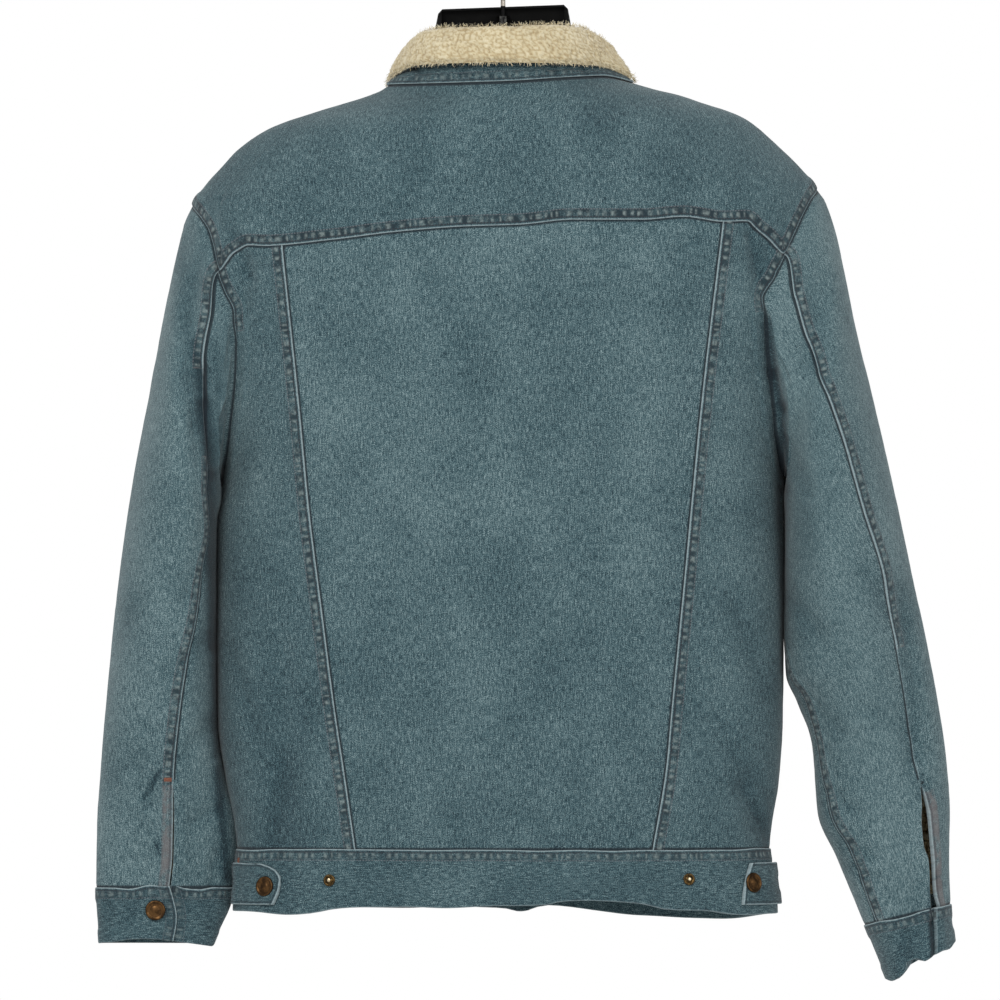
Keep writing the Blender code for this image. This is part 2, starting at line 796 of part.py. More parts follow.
def ring_angles(side, rows):
    """Ring angles for each row and column, with the elbow seam and the inseam each on one column."""
    points, _, _ = armhole_loop(side)
    loop = loop_angles(side, points)
    marks = [0, ELBOW_COLUMN, INSEAM_COLUMN, LOOP_COLUMNS]
    at_loop = np.append(loop, 360.0)
    fade = 1 - smooth_step(rows)
    elbow = SLEEVES[side].read("elbow", rows)
    inseam = SLEEVES[side].read("inseam", rows)
    elbow = elbow + (at_loop[ELBOW_COLUMN] - elbow) * fade
    inseam = inseam + (at_loop[INSEAM_COLUMN] - inseam) * fade
    ends = [0 * rows, elbow, inseam, 360 + 0 * rows]
    angles = np.zeros((len(rows), LOOP_COLUMNS))
    for k in range(3):
        start, stop = marks[k], marks[k + 1]
        span = at_loop[stop] - at_loop[start]
        even_share = np.linspace(0, 1, stop - start + 1)[:-1]
        loop_share = (at_loop[start:stop] - at_loop[start]) / span
        share = even_share + (loop_share - even_share) * fade[:, None]
        angles[:, start:stop] = ends[k][:, None] + share * (ends[k + 1] - ends[k])[:, None]
    return angles


def sleeve_grid(side, rows):
    """Points and outward normals of the sleeve, rows by columns, fitted to the armhole."""
    points, normals, into = armhole_loop(side)
    rows = np.append(rows, rows[-1] + SEAM_LOOK)
    angles = ring_angles(side, rows)
    grid = plain_sleeve(side, rows[:, None], angles)
    start = plain_sleeve(side, np.zeros((1, 1)), ring_angles(side, np.zeros(1)))
    fade = (1 - smooth_step(rows / 2.5))[:, None, None]
    grid = grid + (points - start) * fade
    grid[0] = points + HALF_GAP * into
    for k in (1, 2):
        past_edge = np.sum((grid[k] - grid[0]) * into, axis=-1, keepdims=True)
        grid[k] += np.clip(k * CLEAR_OF_EDGE - past_edge, 0, None) * into
    ahead = np.gradient(grid, axis=0)
    round_ = np.roll(grid, -1, axis=1) - np.roll(grid, 1, axis=1)
    out = unit(np.cross(round_, ahead))
    middle = grid.mean(axis=1, keepdims=True)
    if np.sum(out * (grid - middle)) < 0:
        out = -out
    out[0] = normals
    return grid[:-1], out[:-1]


def cut_rows(side):
    """Ring rows of the sleeve, ending at the cuff seam, and of the cuff."""
    last = SLEEVES[side].knots[-1]
    seam = last - 1
    sleeve = np.linspace(0, seam, int(seam * SLEEVE_STEPS) + 1)
    cuff = np.linspace(seam, last, 3)
    return sleeve, cuff


def sleeve_piece(name, grid, out, rows, first, last):
    """The sleeve between two seam columns, drawn in along the vent."""
    columns = np.arange(first, last + 1) % LOOP_COLUMNS
    outer = grid[:, columns]
    normal = out[:, columns]
    armhole = outer[0].copy()
    outer = parted(outer, HALF_GAP)
    inset = HALF_GAP * unit(outer[0, 1] - outer[0, 0])
    outer[0, 1:-1] = armhole[1:-1]
    outer[0, 0] = armhole[0] + inset
    outer[0, -1] = armhole[-1] + HALF_GAP * unit(armhole[-2] - armhole[-1])
    opening = VENT_GAP * smooth_step((rows - rows[-1] + VENT_ROWS) / 0.7)
    for column, inside in ((0, 1), (-1, -2)):
        if (columns[column] % LOOP_COLUMNS) == ELBOW_COLUMN:
            outer[:, column] += opening[:, None] * unit(outer[:, inside] - outer[:, column])
    return wall_object(name, outer, outer - SLEEVE_WALL * normal, "denim")


def cuff_object(side, rows):
    """A band once round the wrist, its under end tucked inside its outer end."""
    elbow = float(SLEEVES[side].read("elbow", rows[0]))
    angles = np.linspace(elbow - CUFF_UNDERLAP, 360 + elbow + CUFF_OVERLAP, LOOP_COLUMNS + 3)
    rows = np.insert(rows, 0, rows[0] - SEAM_LOOK)
    ring = plain_sleeve(side, rows[:, None], angles[None, :])
    normal = unit(np.cross(np.gradient(ring, axis=1), np.gradient(ring, axis=0)))
    if np.sum(normal * (ring - ring.mean(axis=1, keepdims=True))) < 0:
        normal = -normal
    ring = ring[1:]
    normal = normal[1:]
    past = (angles - (elbow + CUFF_OVERLAP)) / CUFF_STEP_IN
    tucked = (SLEEVE_WALL + LAY_ON) * (1 - smooth_step(past))
    ring = ring - normal * tucked[None, :, None]
    ring[0] += SEAM_GAP * unit(ring[1] - ring[0])
    return wall_object("cuff_" + side, ring, ring - SLEEVE_WALL * normal, "denim")


def build_sleeves():
    for side in ("left", "right"):
        rows, cuff_rows = cut_rows(side)
        grid, out = sleeve_grid(side, rows)
        round_again = LOOP_COLUMNS + ELBOW_COLUMN
        sleeve_piece("under_sleeve_" + side, grid, out, rows, ELBOW_COLUMN, INSEAM_COLUMN)
        sleeve_piece("top_sleeve_" + side, grid, out, rows, INSEAM_COLUMN, round_again)
        cuff_object(side, cuff_rows)


# ---------------------------------------------------------------- collar

# turn: degrees round the neck from the centre back, to each side. rise, lean: the roll's height over the
# neck seam and how far out it stands. edge, reach: the same for the fall's free edge.
COLLAR_COLUMNS = "turn rise lean edge reach"
COLLAR = {
    "left": Table(
        COLLAR_COLUMNS,
        [
            (0, 39.5, -6, 16, 5),
            (30, 40, -9, 16, 4),
            (50, 38.5, -15, 15, -1),
            (75, 28, -20, 9, -8),
            (90, 23, -20, 5, -7),
            (110, 20, -15, 3, 2),
            (130, 20, -8, -1, 12),
            (150, 20, 0, -19, 23),
            (175, 20, 3, -42, 28),
        ],
    ),
    "right": Table(
        COLLAR_COLUMNS,
        [
            (0, 39.5, -6, 16, 5),
            (30, 38, -10, 12, 2),
            (50, 34.5, -17, 9, -3),
            (75, 26.5, -23, 5, -6),
            (90, 22.5, -23, 2, -5),
            (110, 20, -18, 1, 2),
            (130, 20, -9, -3, 12),
            (150, 20, 0, -19, 23),
            (175, 20, 3, -42, 28),
        ],
    ),
}
ROLL_RADIUS = 3.0
ROLL_STEPS = 3


def neck_angles():
    """Angles round the neck, through every column of the pieces that meet the collar."""
    top = np.array([0.0, 1.0])
    yoke = yoke_patch()
    middle, _ = yoke.grid(yoke_shares(yoke), top)
    right, _ = front_patch("right").grid(even(FRONT_COLUMNS), top)
    left, _ = front_patch("left").grid(even(FRONT_COLUMNS), top)
    placket, _ = placket_patch().grid(even(PLACKET_COLUMNS), top)
    angles = [placket[-1][-2] - 360] + list(left[-1] - 360) + list(middle[-1][1:-1])
    return np.array(angles + list(right[-1]) + [placket[-1][1]])


def collar_path(turn):
    """The inside of the folded collar at one turn, as offsets out from and up over the neck seam."""
    table = COLLAR["left" if turn < 0 else "right"]
    rise, lean, edge, reach = (float(table.read(name, abs(turn))) for name in COLLAR_COLUMNS.split()[1:])
    path = [(0.0, SEAM_GAP), (lean * 0.6, rise * 0.5)]
    for step in range(ROLL_STEPS + 1):
        swing = math.pi * (1 - step / ROLL_STEPS)
        out = lean + ROLL_RADIUS + ROLL_RADIUS * math.cos(swing)
        path.append((out, rise - ROLL_RADIUS + ROLL_RADIUS * math.sin(swing)))
    start = path[-1]
    for share, bulge in ((0.5, 2.0), (1.0, 0.0)):
        out = start[0] + (reach - start[0]) * share + bulge
        path.append((out, start[1] + (edge - start[1]) * share))
    return np.array(path)


def collar_layer(name, near, far, material):
    """One cloth of the collar, between two distances from the inside of its fold."""
    angles = neck_angles()
    turns = angles - 90
    neck = body_point(angles, NECK_SEAM.read("level", angles))
    along = np.gradient(neck, axis=0) * (1, 1, 0)
    out = unit(np.cross(along, (0, 0, 1)))
    grids = []
    for distance in (far, near):
        grid = []
        for k, turn in enumerate(turns):
            path = collar_path(turn)
            run = unit(np.gradient(path, axis=0))
            aside = np.stack([-run[:, 1], run[:, 0]], axis=-1)
            aside[0] = (-1, 0)
            offsets = path + distance * aside
            grid.append(neck[k] + offsets[:, :1] * out[k] + offsets[:, 1:] * (0, 0, 1))
        grids.append(np.array(grid))
    return wall_object(name, grids[0], grids[1], material)


def build_collar():
    collar_layer("collar_under", 0.0, DENIM, "denim")
    collar_layer("collar_sherpa", DENIM + SEAM_GAP, DENIM + SEAM_GAP + SHERPA, "sherpa")


# ---------------------------------------------------------------- hanger

# Sections along the hanger from the wearer's right to the left. thick is across the shoulder's depth.
# The arms carry the inside of the yoke.
HANGER = Table(
    "x top bottom thick",
    [
        (-222, -198.1, -209, 40),
        (-216, -193.2, -209, 42),
        (-190, -172.8, -190.8, 38),
        (-150, -157, -176, 30),
        (-110, -148, -168, 22),
        (-80, -136, -162, 16),
        (-62, -120, -158, 14),
        (-53.5, -74, -152, 14),
        (-50, -70.5, -150, 14),
        (50, -74.2, -152, 14),
        (53.5, -78, -154, 14),
        (62, -122, -160, 14),
        (80, -141, -165, 16),
        (110, -155, -174, 22),
        (150, -166.5, -184.5, 30),
        (180, -178, -196, 38),
        (206, -197, -212, 42),
        (212, -202, -212, 40),
    ],
)
HANGER_SIDES = 12
HANGER_SQUARE = 0.35  # 1 is an ellipse and 0 a rectangle
RIM = 2.3
PLATE_HALF = 53.0
PLATE_TOP = -72.3
PLATE_TILT = math.radians(-2.1)
POCKET_BACK = -3.0
POCKET_MOUTH = 20.0
POCKET_FLOOR = -114.0
SHAFT_Y = 3.4
SHAFT_RADIUS = 2.0
SHAFT_END = -93.0
SHAFT_HOLE = 2.6
HOOK_RADIUS = 26.0
HOOK_STEPS = 14
HOOK_START = -62.0
HOOK_TURN = 252.0
CENTRED_AFTER = 4  # steps of the hook after which the wire is over the hanger's middle
NUT_TOP = -80.5
NUT_HEIGHT = 6.0
NUT_RADIUS = 5.5


def hanger_section(x):
    top = float(HANGER.read("top", x))
    bottom = float(HANGER.read("bottom", x))
    thick = float(HANGER.read("thick", x))
    points = []
    for k in range(HANGER_SIDES):
        swing = 2 * math.pi * (k + 0.5) / HANGER_SIDES
        c = math.cos(swing)
        s = math.sin(swing)
        y = thick / 2 * math.copysign(abs(c) ** HANGER_SQUARE, c)
        z = (top + bottom) / 2 + (top - bottom) / 2 * math.copysign(abs(s) ** HANGER_SQUARE, s)
        points.append((x, y, z))
    return points


def cutter(name, points, faces):
    tool = mesh_object(name, np.array(points) * MM, faces, "plastic")
    tool.hide_render = True
    tool.display_type = "WIRE"
    return tool


def prism_on_shaft(sides, radius, low, high):
    """Points and faces of an upright prism round the hook's shaft."""
    points = []
    for z in (low, high):
        for k in range(sides):
            swing = 2 * math.pi * k / sides
            points.append((radius * math.cos(swing), SHAFT_Y + radius * math.sin(swing), z))
    faces = [list(range(sides))[::-1], list(range(sides, 2 * sides))]
    for k in range(sides):
        right = (k + 1) % sides
        faces.append([k, right, right + sides, k + sides])
    return points, faces


def cut_from(item, tool):
    modifier = item.modifiers.new("cut_" + tool.name, "BOOLEAN")
    modifier.operation = "DIFFERENCE"
    modifier.object = tool


def ringed_faces(rings, sides):
    """Faces of a closed body whose points are rings of so many sides, one after another."""
    last = (rings - 1) * sides
    faces = [list(range(sides)), [last + k for k in range(sides)][::-1]]
    for i in range(rings - 1):
        low = i * sides
        for k in range(sides):
            right = (k + 1) % sides
            faces.append([low + k, low + right, low + sides + right, low + sides + k])
    return faces


def pocket_points():
    """The corners of the neck plate's hollow, whose roof follows the plate's slanting top."""
    half = PLATE_HALF - RIM
    fall = half * math.tan(PLATE_TILT)
    roof = PLATE_TOP - RIM
    outline = [(-half, POCKET_FLOOR), (half, POCKET_FLOOR), (half, roof + fall), (-half, roof - fall)]
    return [(x, y, z) for y in (POCKET_BACK, POCKET_MOUTH) for x, z in outline]


def build_hanger():
    stations = HANGER.knots
    points = [point for x in stations for point in hanger_section(x)]
    faces = ringed_faces(len(stations), HANGER_SIDES)
    hanger = mesh_object("hanger", np.array(points) * MM, faces, "plastic")
    box_faces = [[0, 1, 2, 3], [7, 6, 5, 4], [0, 4, 5, 1], [1, 5, 6, 2], [2, 6, 7, 3], [3, 7, 4, 0]]
    cut_from(hanger, cutter("hanger_pocket", pocket_points(), box_faces))
    hole = prism_on_shaft(10, SHAFT_HOLE, NUT_TOP - NUT_HEIGHT, PLATE_TOP + 12)
    cut_from(hanger, cutter("hanger_shaft_hole", *hole))


def hook_route():
    """Centre line of the wire: up the shaft, out to one side and over the rail."""
    route = [(0, SHAFT_Y, SHAFT_END), (0, SHAFT_Y, -76), (0, SHAFT_Y, -64)]
    centre = SHAFT_RADIUS - HOOK_RADIUS
    for step in range(HOOK_STEPS + 1):
        swing = math.radians(HOOK_START + HOOK_TURN * step / HOOK_STEPS)
        x = -HOOK_RADIUS * math.cos(swing)
        y = SHAFT_Y * (1 - min(1, step / CENTRED_AFTER))
        route.append((x, y, centre + HOOK_RADIUS * math.sin(swing)))
    return np.array(route, float)


def tube(name, route, radius, sides, material):
    """A round wire along a route, its rings square to it."""
    ahead = unit(np.gradient(route, axis=0))
    across = unit(np.cross(ahead, (0, 1, 0)))
    up = np.cross(across, ahead)
    points = []
    for centre, first, second in zip(route, across, up):
        for k in range(sides):
            swing = 2 * math.pi * k / sides
            points.append(centre + radius * (math.cos(swing) * first + math.sin(swing) * second))
    mesh_object(name, np.array(points) * MM, ringed_faces(len(route), sides), material)


def build_hook():
    tube("hook", hook_route(), SHAFT_RADIUS, 8, "steel")
    points, faces = prism_on_shaft(6, NUT_RADIUS, NUT_TOP - NUT_HEIGHT, NUT_TOP)
    nut = mesh_object("hook_nut", np.array(points) * MM, faces, "steel")
    bore = prism_on_shaft(10, SHAFT_RADIUS + SEAM_GAP, NUT_TOP - NUT_HEIGHT - 3, NUT_TOP + 3)
    cut_from(nut, cutter("nut_bore", *bore))


# ---------------------------------------------------------------- buttons and studs

BUTTON_SIDES = 10
# radius and height over the cloth, from the rim's foot to the middle
BUTTON_PROFILE = [(7.6, 0.0), (8.2, 1.2), (7.2, 2.5), (5.6, 2.0), (3.0, 2.6)]
STUD_PROFILE = [(4.2, 0.0), (4.9, 0.5), (4.4, 1.4), (2.2, 2.0)]


WAIST_BUTTONS = {"left": (194.5, -797.0), "right": (-203.5, -794.0)}  # x and level
WAIST_STUDS = {"left": (142.5, -791.3), "right": (-152.5, -790.5)}
CUFF_BUTTON_SHARE = 0.38  # of the cuff's depth
CUFF_BUTTON_TURN = {"left": -7.5, "right": -92.0}  # from the elbow seam; the right one is on the front
TOP_BUTTON = -160.0
LAST_PLACKET_BUTTON = -712.0
FRONT_BUTTON_X = -2.0


def turned_on(name, profile, place, normal):
    """A turned piece that stands on the cloth at a place, its axis along the normal."""
    across = unit(np.cross(normal, (0, 0, 1)))
    up = np.cross(across, normal)
    points = []
    for radius, height in profile:
        for k in range(BUTTON_SIDES):
            swing = 2 * math.pi * k / BUTTON_SIDES
            spoke = math.cos(swing) * across + math.sin(swing) * up
            points.append(place + radius * spoke + (LAY_ON + height) * normal)
    mesh_object(name, np.array(points) * MM, ringed_faces(len(profile), BUTTON_SIDES), "copper")


def turned_on_body(name, profile, angle, level, raised=0.0):
    normal = body_normal(angle, level)
    turned_on(name, profile, body_point(angle, level) + raised * normal, normal)


def build_cuff_button(side):
    rows = cut_rows(side)[1]
    row = rows[0] + CUFF_BUTTON_SHARE * (rows[-1] - rows[0])
    angle = float(SLEEVES[side].read("elbow", row)) + CUFF_BUTTON_TURN[side]
    place = plain_sleeve(side, row, angle)
    opposite = plain_sleeve(side, row, angle + 180)
    round_ = plain_sleeve(side, row, angle + 1) - plain_sleeve(side, row, angle - 1)
    ahead = plain_sleeve(side, row + 0.1, angle) - plain_sleeve(side, row - 0.1, angle)
    normal = unit(np.cross(round_, ahead))
    if np.dot(normal, place - opposite) < 0:
        normal = -normal
    turned_on("cuff_button_" + side, BUTTON_PROFILE, place, normal)


def build_buttons():
    for side in ("left", "right"):
        x, level = WAIST_BUTTONS[side]
        raised = TAB_WALL + LAY_ON
        turned_on_body("waist_button_" + side, BUTTON_PROFILE, back_angle(x, level), level, raised)
        x, level = WAIST_STUDS[side]
        turned_on_body("waist_stud_" + side, STUD_PROFILE, back_angle(x, level), level)
        build_cuff_button(side)
    levels = list(np.linspace(TOP_BUTTON, LAST_PLACKET_BUTTON, FRONT_BUTTONS - 1))
    levels.append((WAIST_SEAM + HEM) / 2)
    for number, level in enumerate(levels, start=1):
        angle = front_angle(FRONT_BUTTON_X, level)
        turned_on_body(f"front_button_{number}", BUTTON_PROFILE, angle, level)


# ---------------------------------------------------------------- the whole jacket

for item in list(bpy.data.objects):
    bpy.data.objects.remove(item, do_unlink=True)

MATERIALS = {
    "denim": new_material("denim", (0.085, 0.15, 0.175), 0.85),
    "sherpa": new_material("sherpa", (0.62, 0.53, 0.36), 0.95),
    "plastic": new_material("plastic", (0.012, 0.012, 0.013), 0.35),
    "steel": new_material("steel", (0.55, 0.53, 0.5), 0.25, 1.0),
    "copper": new_material("copper", (0.2, 0.085, 0.03), 0.45, 1.0),
}

build_body()
build_closure()
build_waistband()
build_tabs()
build_sleeves()
build_collar()
build_hanger()
build_hook()
build_buttons()
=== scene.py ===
"""The looks of a sherpa lined denim jacket on a hanger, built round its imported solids.

Lengths in the tables are millimetres and angles are degrees; the objects are in metres, +Z up.
The origin is where a rail carries the hook. The wearer's left is +X and the back faces +Y.
A place on the body is an angle and a level. The angle is 0 at the wearer's left side, 90 at the
centre back, 180 at the right side and 270 at the centre front. The level is the height at the back;
the front of each ring hangs lower by its row's drop.
"""

import math

import bpy
import numpy as np
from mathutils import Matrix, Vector
from mathutils.kdtree import KDTree


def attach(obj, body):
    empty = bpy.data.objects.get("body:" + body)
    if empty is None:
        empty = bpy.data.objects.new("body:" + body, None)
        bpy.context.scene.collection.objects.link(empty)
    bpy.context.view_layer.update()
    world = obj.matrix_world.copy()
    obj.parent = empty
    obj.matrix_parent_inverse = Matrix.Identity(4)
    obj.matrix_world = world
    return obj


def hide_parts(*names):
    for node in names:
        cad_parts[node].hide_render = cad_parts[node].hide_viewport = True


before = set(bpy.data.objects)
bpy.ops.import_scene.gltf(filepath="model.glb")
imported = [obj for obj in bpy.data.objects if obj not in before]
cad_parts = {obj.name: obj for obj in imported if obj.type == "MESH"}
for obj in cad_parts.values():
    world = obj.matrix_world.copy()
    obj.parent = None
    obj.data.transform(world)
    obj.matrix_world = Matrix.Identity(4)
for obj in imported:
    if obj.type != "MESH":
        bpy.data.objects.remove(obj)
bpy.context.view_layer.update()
MM = 0.001


def by_fineness(full):
    return full


# Spacing and counts of the points
STEP = by_fineness(2.2)
FRONT_STEP = by_fineness(3.0)
SHERPA_STEP = by_fineness(1.2)
SLEEVE_ROWS = by_fineness(300)
BACK_TIP_STEPS = by_fineness(30)
ARM_ROWS = by_fineness(75)
FRONT_ROWS = by_fineness(90)
NECK_COLUMNS = by_fineness(440)
STRANDS_PER_TUFT = by_fineness(6)
EDGE_LOCKS = by_fineness(2600)

# Walls, and the gaps between the pieces
BODY_WALL = 4.0
SLEEVE_WALL = 3.0
CUFF_WALL = 2.3
TAB_WALL = 2.0
DENIM = 1.5
SHERPA = 5.2
SEAM_GAP = 0.3
HALF_GAP = 0.15
LAY_ON = 0.5  # how far buttons and tabs stand off the cloth under them

SIDES = ("left", "right")

# Levels of the body, and half the placket's width
WAIST_SEAM = -767.0
HEM = -815.0
ARMPIT = -461.0
FRONT_NECK = -135.0
SIDE_SEAM_TURN = -12.0  # the side seam's angle at the hem
PLACKET_HALF = 21.0


def read_rows(text):
    """The numbers of a written table, line by line. A comment may follow a line's numbers."""
    return [[float(word) for word in line.split("#")[0].split()] for line in text.strip().split("\n")]


class Table:
    """Rows of named columns. Between rows, each column follows a curve that never overshoots."""

    def __init__(self, columns, rows):
        rows = sorted(rows)
        self.columns = dict(zip(columns.split(), np.array(rows, float).T))
        self.knots = np.array([row[0] for row in rows], float)

    def read(self, column, place):
        return smooth_read(self.knots, self.columns[column], place)


def smooth_read(knots, values, place):
    """A monotone cubic through the values, level past both ends."""
    knots = np.asarray(knots, float)
    values = np.asarray(values, float)
    place = np.clip(np.asarray(place, float), knots[0], knots[-1])
    gaps = np.diff(knots)
    slopes = np.diff(values) / gaps
    product = slopes[1:] * slopes[:-1]
    total = slopes[1:] + slopes[:-1]
    middle = np.where(product > 0, 2 * product / np.where(total == 0, 1, total), 0)
    tangents = np.concatenate([slopes[:1], middle, slopes[-1:]])
    index = np.clip(np.searchsorted(knots, place, side="right") - 1, 0, len(gaps) - 1)
    t = (place - knots[index]) / gaps[index]
    start = values[index] * (1 + 2 * t) * (1 - t) ** 2
    end = values[index + 1] * t**2 * (3 - 2 * t)
    bend = tangents[index] * t * (1 - t) ** 2 - tangents[index + 1] * t**2 * (1 - t)
    return start + end + bend * gaps[index]


def smooth_step(value):
    """From 0 to 1, level at both ends and past them."""
    value = np.clip(value, 0, 1)
    return value * value * (3 - 2 * value)


def passing(value, level, width):
    """0 to 1 as the value passes a level, over a width."""
    return smooth_step((value - level) / width + 0.5)


def unit(vectors):
    return vectors / np.linalg.norm(vectors, axis=-1, keepdims=True)


def facing_out(normals, out):
    """The normals, turned round if they point against the directions out of the piece."""
    return -normals if np.sum(normals * out) < 0 else normals


def run_along(line):
    """The distance along a line at each of its points."""
    return np.append(0, np.cumsum(np.linalg.norm(np.diff(line, axis=0), axis=-1)))


def resampled(line, run, places):
    """A line's values at other places of its run."""
    return np.stack([np.interp(places, run, values) for values in line.T], axis=-1)


# ---------------------------------------------------------------- the body's surface

# left, right: half widths. back, front: half depths. full: how square the ring is.
BODY_RINGS = Table("level left right back front full drop", read_rows("""
-126 84 92 58 66 -0.12 66
-135 93 106 63 72 -0.13 65
-139.5 97 121 66 74 -0.14 62
-146 111 147 69 76 -0.15 56
-152 130 165 73 78 -0.15 50
-158 150 184 76 80 -0.14 45
-166 175 201 80 82 -0.12 38
-174 194.5 212 83 84 -0.10 32
-190.5 218.5 230 88 87 -0.06 22
-207 234 246.5 92 90 -0.02 14
-222 247 258 94 92 0.02 9
-235 255.5 260.5 96 93 0.05 6
-262 257 261 98 95 0.08 4
-290 256 257.5 100 96 0.09 4
-337 250 247.5 101 97 0.10 4
-400 240 237.5 100 97 0.10 4
-461 230 231 98 97 0.09 4
-500 236 230.5 96 96 0.09 4
-580 236.5 230.5 93 95 0.08 5
-660 235 230 89 92 0.08 7
-712 228 227 86 89 0.07 8
-746 221.5 221.5 84 86 0.07 9
-767 219.5 220 83 85 0.07 9
-778 220.5 221.5 84 86 0.07 9
-815 222 225.5 86 88 0.07 10
-830 222 225.5 86 88 0.07 10
"""))

# The largest folds, as troughs between two points of the back or the front.
# Each row holds x1, z1, x2, z2, the depth and the reach to each side.
BACK_FOLDS = read_rows("""
212 -289 218 -318 4 9  # from the back armhole towards the yoke
-207 -257 -214 -309 4 9
262 -262 254 -372 7 13  # the sleeve falls in under the shoulder
252 -380 245 -440 6 12
-262 -300 -256 -372 5 13
-236 -425 -252 -595 4 14  # down the inner back of the right sleeve
-325 -555 -340 -690 6 16  # beside the right elbow seam
187 -600 182 -780 4 16  # down the left side panel
-198 -716 -220 -765 4 12
""")
FRONT_FOLDS = read_rows("""
214 -280 200 -340 4 10
-214 -280 -200 -340 4 10
262 -290 250 -420 6 13
-262 -290 -252 -420 6 13
300 -560 262 -600 5 14
-322 -570 -268 -600 5 14
150 -560 165 -740 4 18
-140 -600 -160 -750 4 18
""")
FADE_AT_SIDES = 2.5  # folds of the back fade out towards the sides, and the front's too


def trough(x, z, folds):
    """How far the folds press the surface in at a place seen from the back or the front."""
    pressed = np.zeros(np.shape(x))
    for x1, z1, x2, z2, depth, reach in folds:
        run_x = x2 - x1
        run_z = z2 - z1
        along = ((x - x1) * run_x + (z - z1) * run_z) / (run_x**2 + run_z**2)
        along = np.clip(along, 0, 1)
        apart = (x - x1 - along * run_x) ** 2 + (z - z1 - along * run_z) ** 2
        pressed += depth * np.exp(-apart / reach**2)
    return pressed


def pressed_in(x, z, toward_back):
    """How far the large folds of the back and of the front press in where the surface faces so."""
    back = trough(x, z, BACK_FOLDS) * smooth_step(FADE_AT_SIDES * toward_back)
    front = trough(x, z, FRONT_FOLDS) * smooth_step(-FADE_AT_SIDES * toward_back)
    return back, front


def half_width(side, level):
    """The rings' half width, to the left for positive values of side."""
    return np.where(side >= 0, BODY_RINGS.read("left", level), BODY_RINGS.read("right", level))


def plain_body(angle, level):
    """The body's ring surface without its folds."""
    angle, level = np.broadcast_arrays(np.asarray(angle, float), np.asarray(level, float))
    c = np.cos(np.radians(angle))
    s = np.sin(np.radians(angle))
    half = half_width(c, level)
    depth = np.where(s >= 0, BODY_RINGS.read("back", level), BODY_RINGS.read("front", level))
    full = BODY_RINGS.read("full", level)
    front_share = np.clip(-s, 0, 1) ** 2
    x = half * c * (1 + full * s * s)
    y = depth * s * (1 + full * c * c)
    z = level - BODY_RINGS.read("drop", level) * front_share
    return np.stack([x, y, z], axis=-1)


def body_point(angle, level):
    """The body's surface, with its large folds."""
    point = plain_body(angle, level)
    s = np.sin(np.radians(np.asarray(angle, float)))
    back, front = pressed_in(point[..., 0], point[..., 2], s)
    inward = unit(point * (1, 1, 0) + (0, 1e-6, 0))
    return point - inward * (back + front)[..., None]


def body_normal(angle, level):
    angle = np.asarray(angle)
    level = np.asarray(level)
    step = 0.5
    round_ = body_point(angle + step, level) - body_point(angle - step, level)
    up = body_point(angle, level + step) - body_point(angle, level - step)
    return unit(np.cross(round_, up))


def back_angle(x, level):
    """The angle at which the back half of a ring reaches x."""
    x = np.asarray(x)
    full = BODY_RINGS.read("full", level)
    target = x / half_width(x, level)
    c = target
    for _ in range(8):
        c = np.clip(target / (1 + full * (1 - c * c)), -1, 1)
    return np.degrees(np.arccos(c))


# ---------------------------------------------------------------- seam lines on the body

YOKE_SEAM = Table("x level", read_rows("""
234 -290.3
221 -274.6
209 -268.9
195 -269.7
141 -264.8
87 -258.2
34 -254
-14 -252.4
-57 -248.3
-114 -248.3
-147.5 -245.8
-181 -249.9
-202 -249.1
-213.5 -258.2
-231.5 -276.3
"""))

# Where the slanting back seams cross each level
BACK_SEAMS = Table("level left right", read_rows("""
-245 184 -182
-269.7 182 -179
-331 175.5 -171.5
-403 168 -163.2
-487 160 -155
-566 150 -147.5
-655 138.4 -138.8
-697 132 -135
-766 122 -123.6
"""))

# Each armhole's back edge, from the shoulder tip to the armpit
ARMHOLE_COLUMNS = "level x"
ARMHOLES = {
    "left": Table(ARMHOLE_COLUMNS, read_rows("""
-235 255.5
-243 250.5
-258 241.4
-275 236.5
-290.3 234
-306 229
-330 220.8
-350 218
-380 219
-410 222
-440 226
-461 230
""")),
    "right": Table(ARMHOLE_COLUMNS, read_rows("""
-222 -258
-229 -254
-245 -245.6
-256 -240.6
-276.3 -231.5
-294 -224
-320 -214.2
-345 -215
-380 -218
-410 -222
-440 -227
-461 -231
""")),
}
SHOULDER_TIP = {"left": -235.0, "right": -222.0}
JUNCTION = {"left": -290.3, "right": -276.3}  # where the yoke seam meets the armhole
FRONT_YOKE_AT_ARMHOLE = {"left": -268.0, "right": -256.0}
FRONT_YOKE_AT_NECK_TURN = 38.0
FRONT_ARMHOLE_SHARE = 0.95  # how far the front edge is cut in, beside the back edge

NECK_SEAM = Table("angle level", read_rows("""
-90 -135
-38 -135
0 -137
45 -136.5
90 -135
125 -131.5
150 -130
180 -135
218 -135
270 -135
"""))


def side_angle(side, turn):
    """The body angle that is so many degrees from a side, positive towards the back."""
    return turn if side == "left" else 180 - turn


def armhole_turn(side, level):
    """How many degrees the armhole's back edge is in from the side."""
    angle = back_angle(ARMHOLES[side].read("x", level), level)
    turn = angle if side == "left" else 180 - angle
    return turn * smooth_step((SHOULDER_TIP[side] - np.asarray(level, float)) / 6)


def outer_turn(side, level, facing):
    """The armhole above the armpit, the side seam below. facing: 1 for the back, -1 for the front."""
    level = np.asarray(level, float)
    cut_in = armhole_turn(side, np.clip(level, ARMPIT, SHOULDER_TIP[side]))
    share = 1 if facing > 0 else FRONT_ARMHOLE_SHARE
    seam = SIDE_SEAM_TURN * smooth_step((ARMPIT - level) / (ARMPIT - HEM))
    return np.where(level > ARMPIT, facing * share * cut_in, seam)


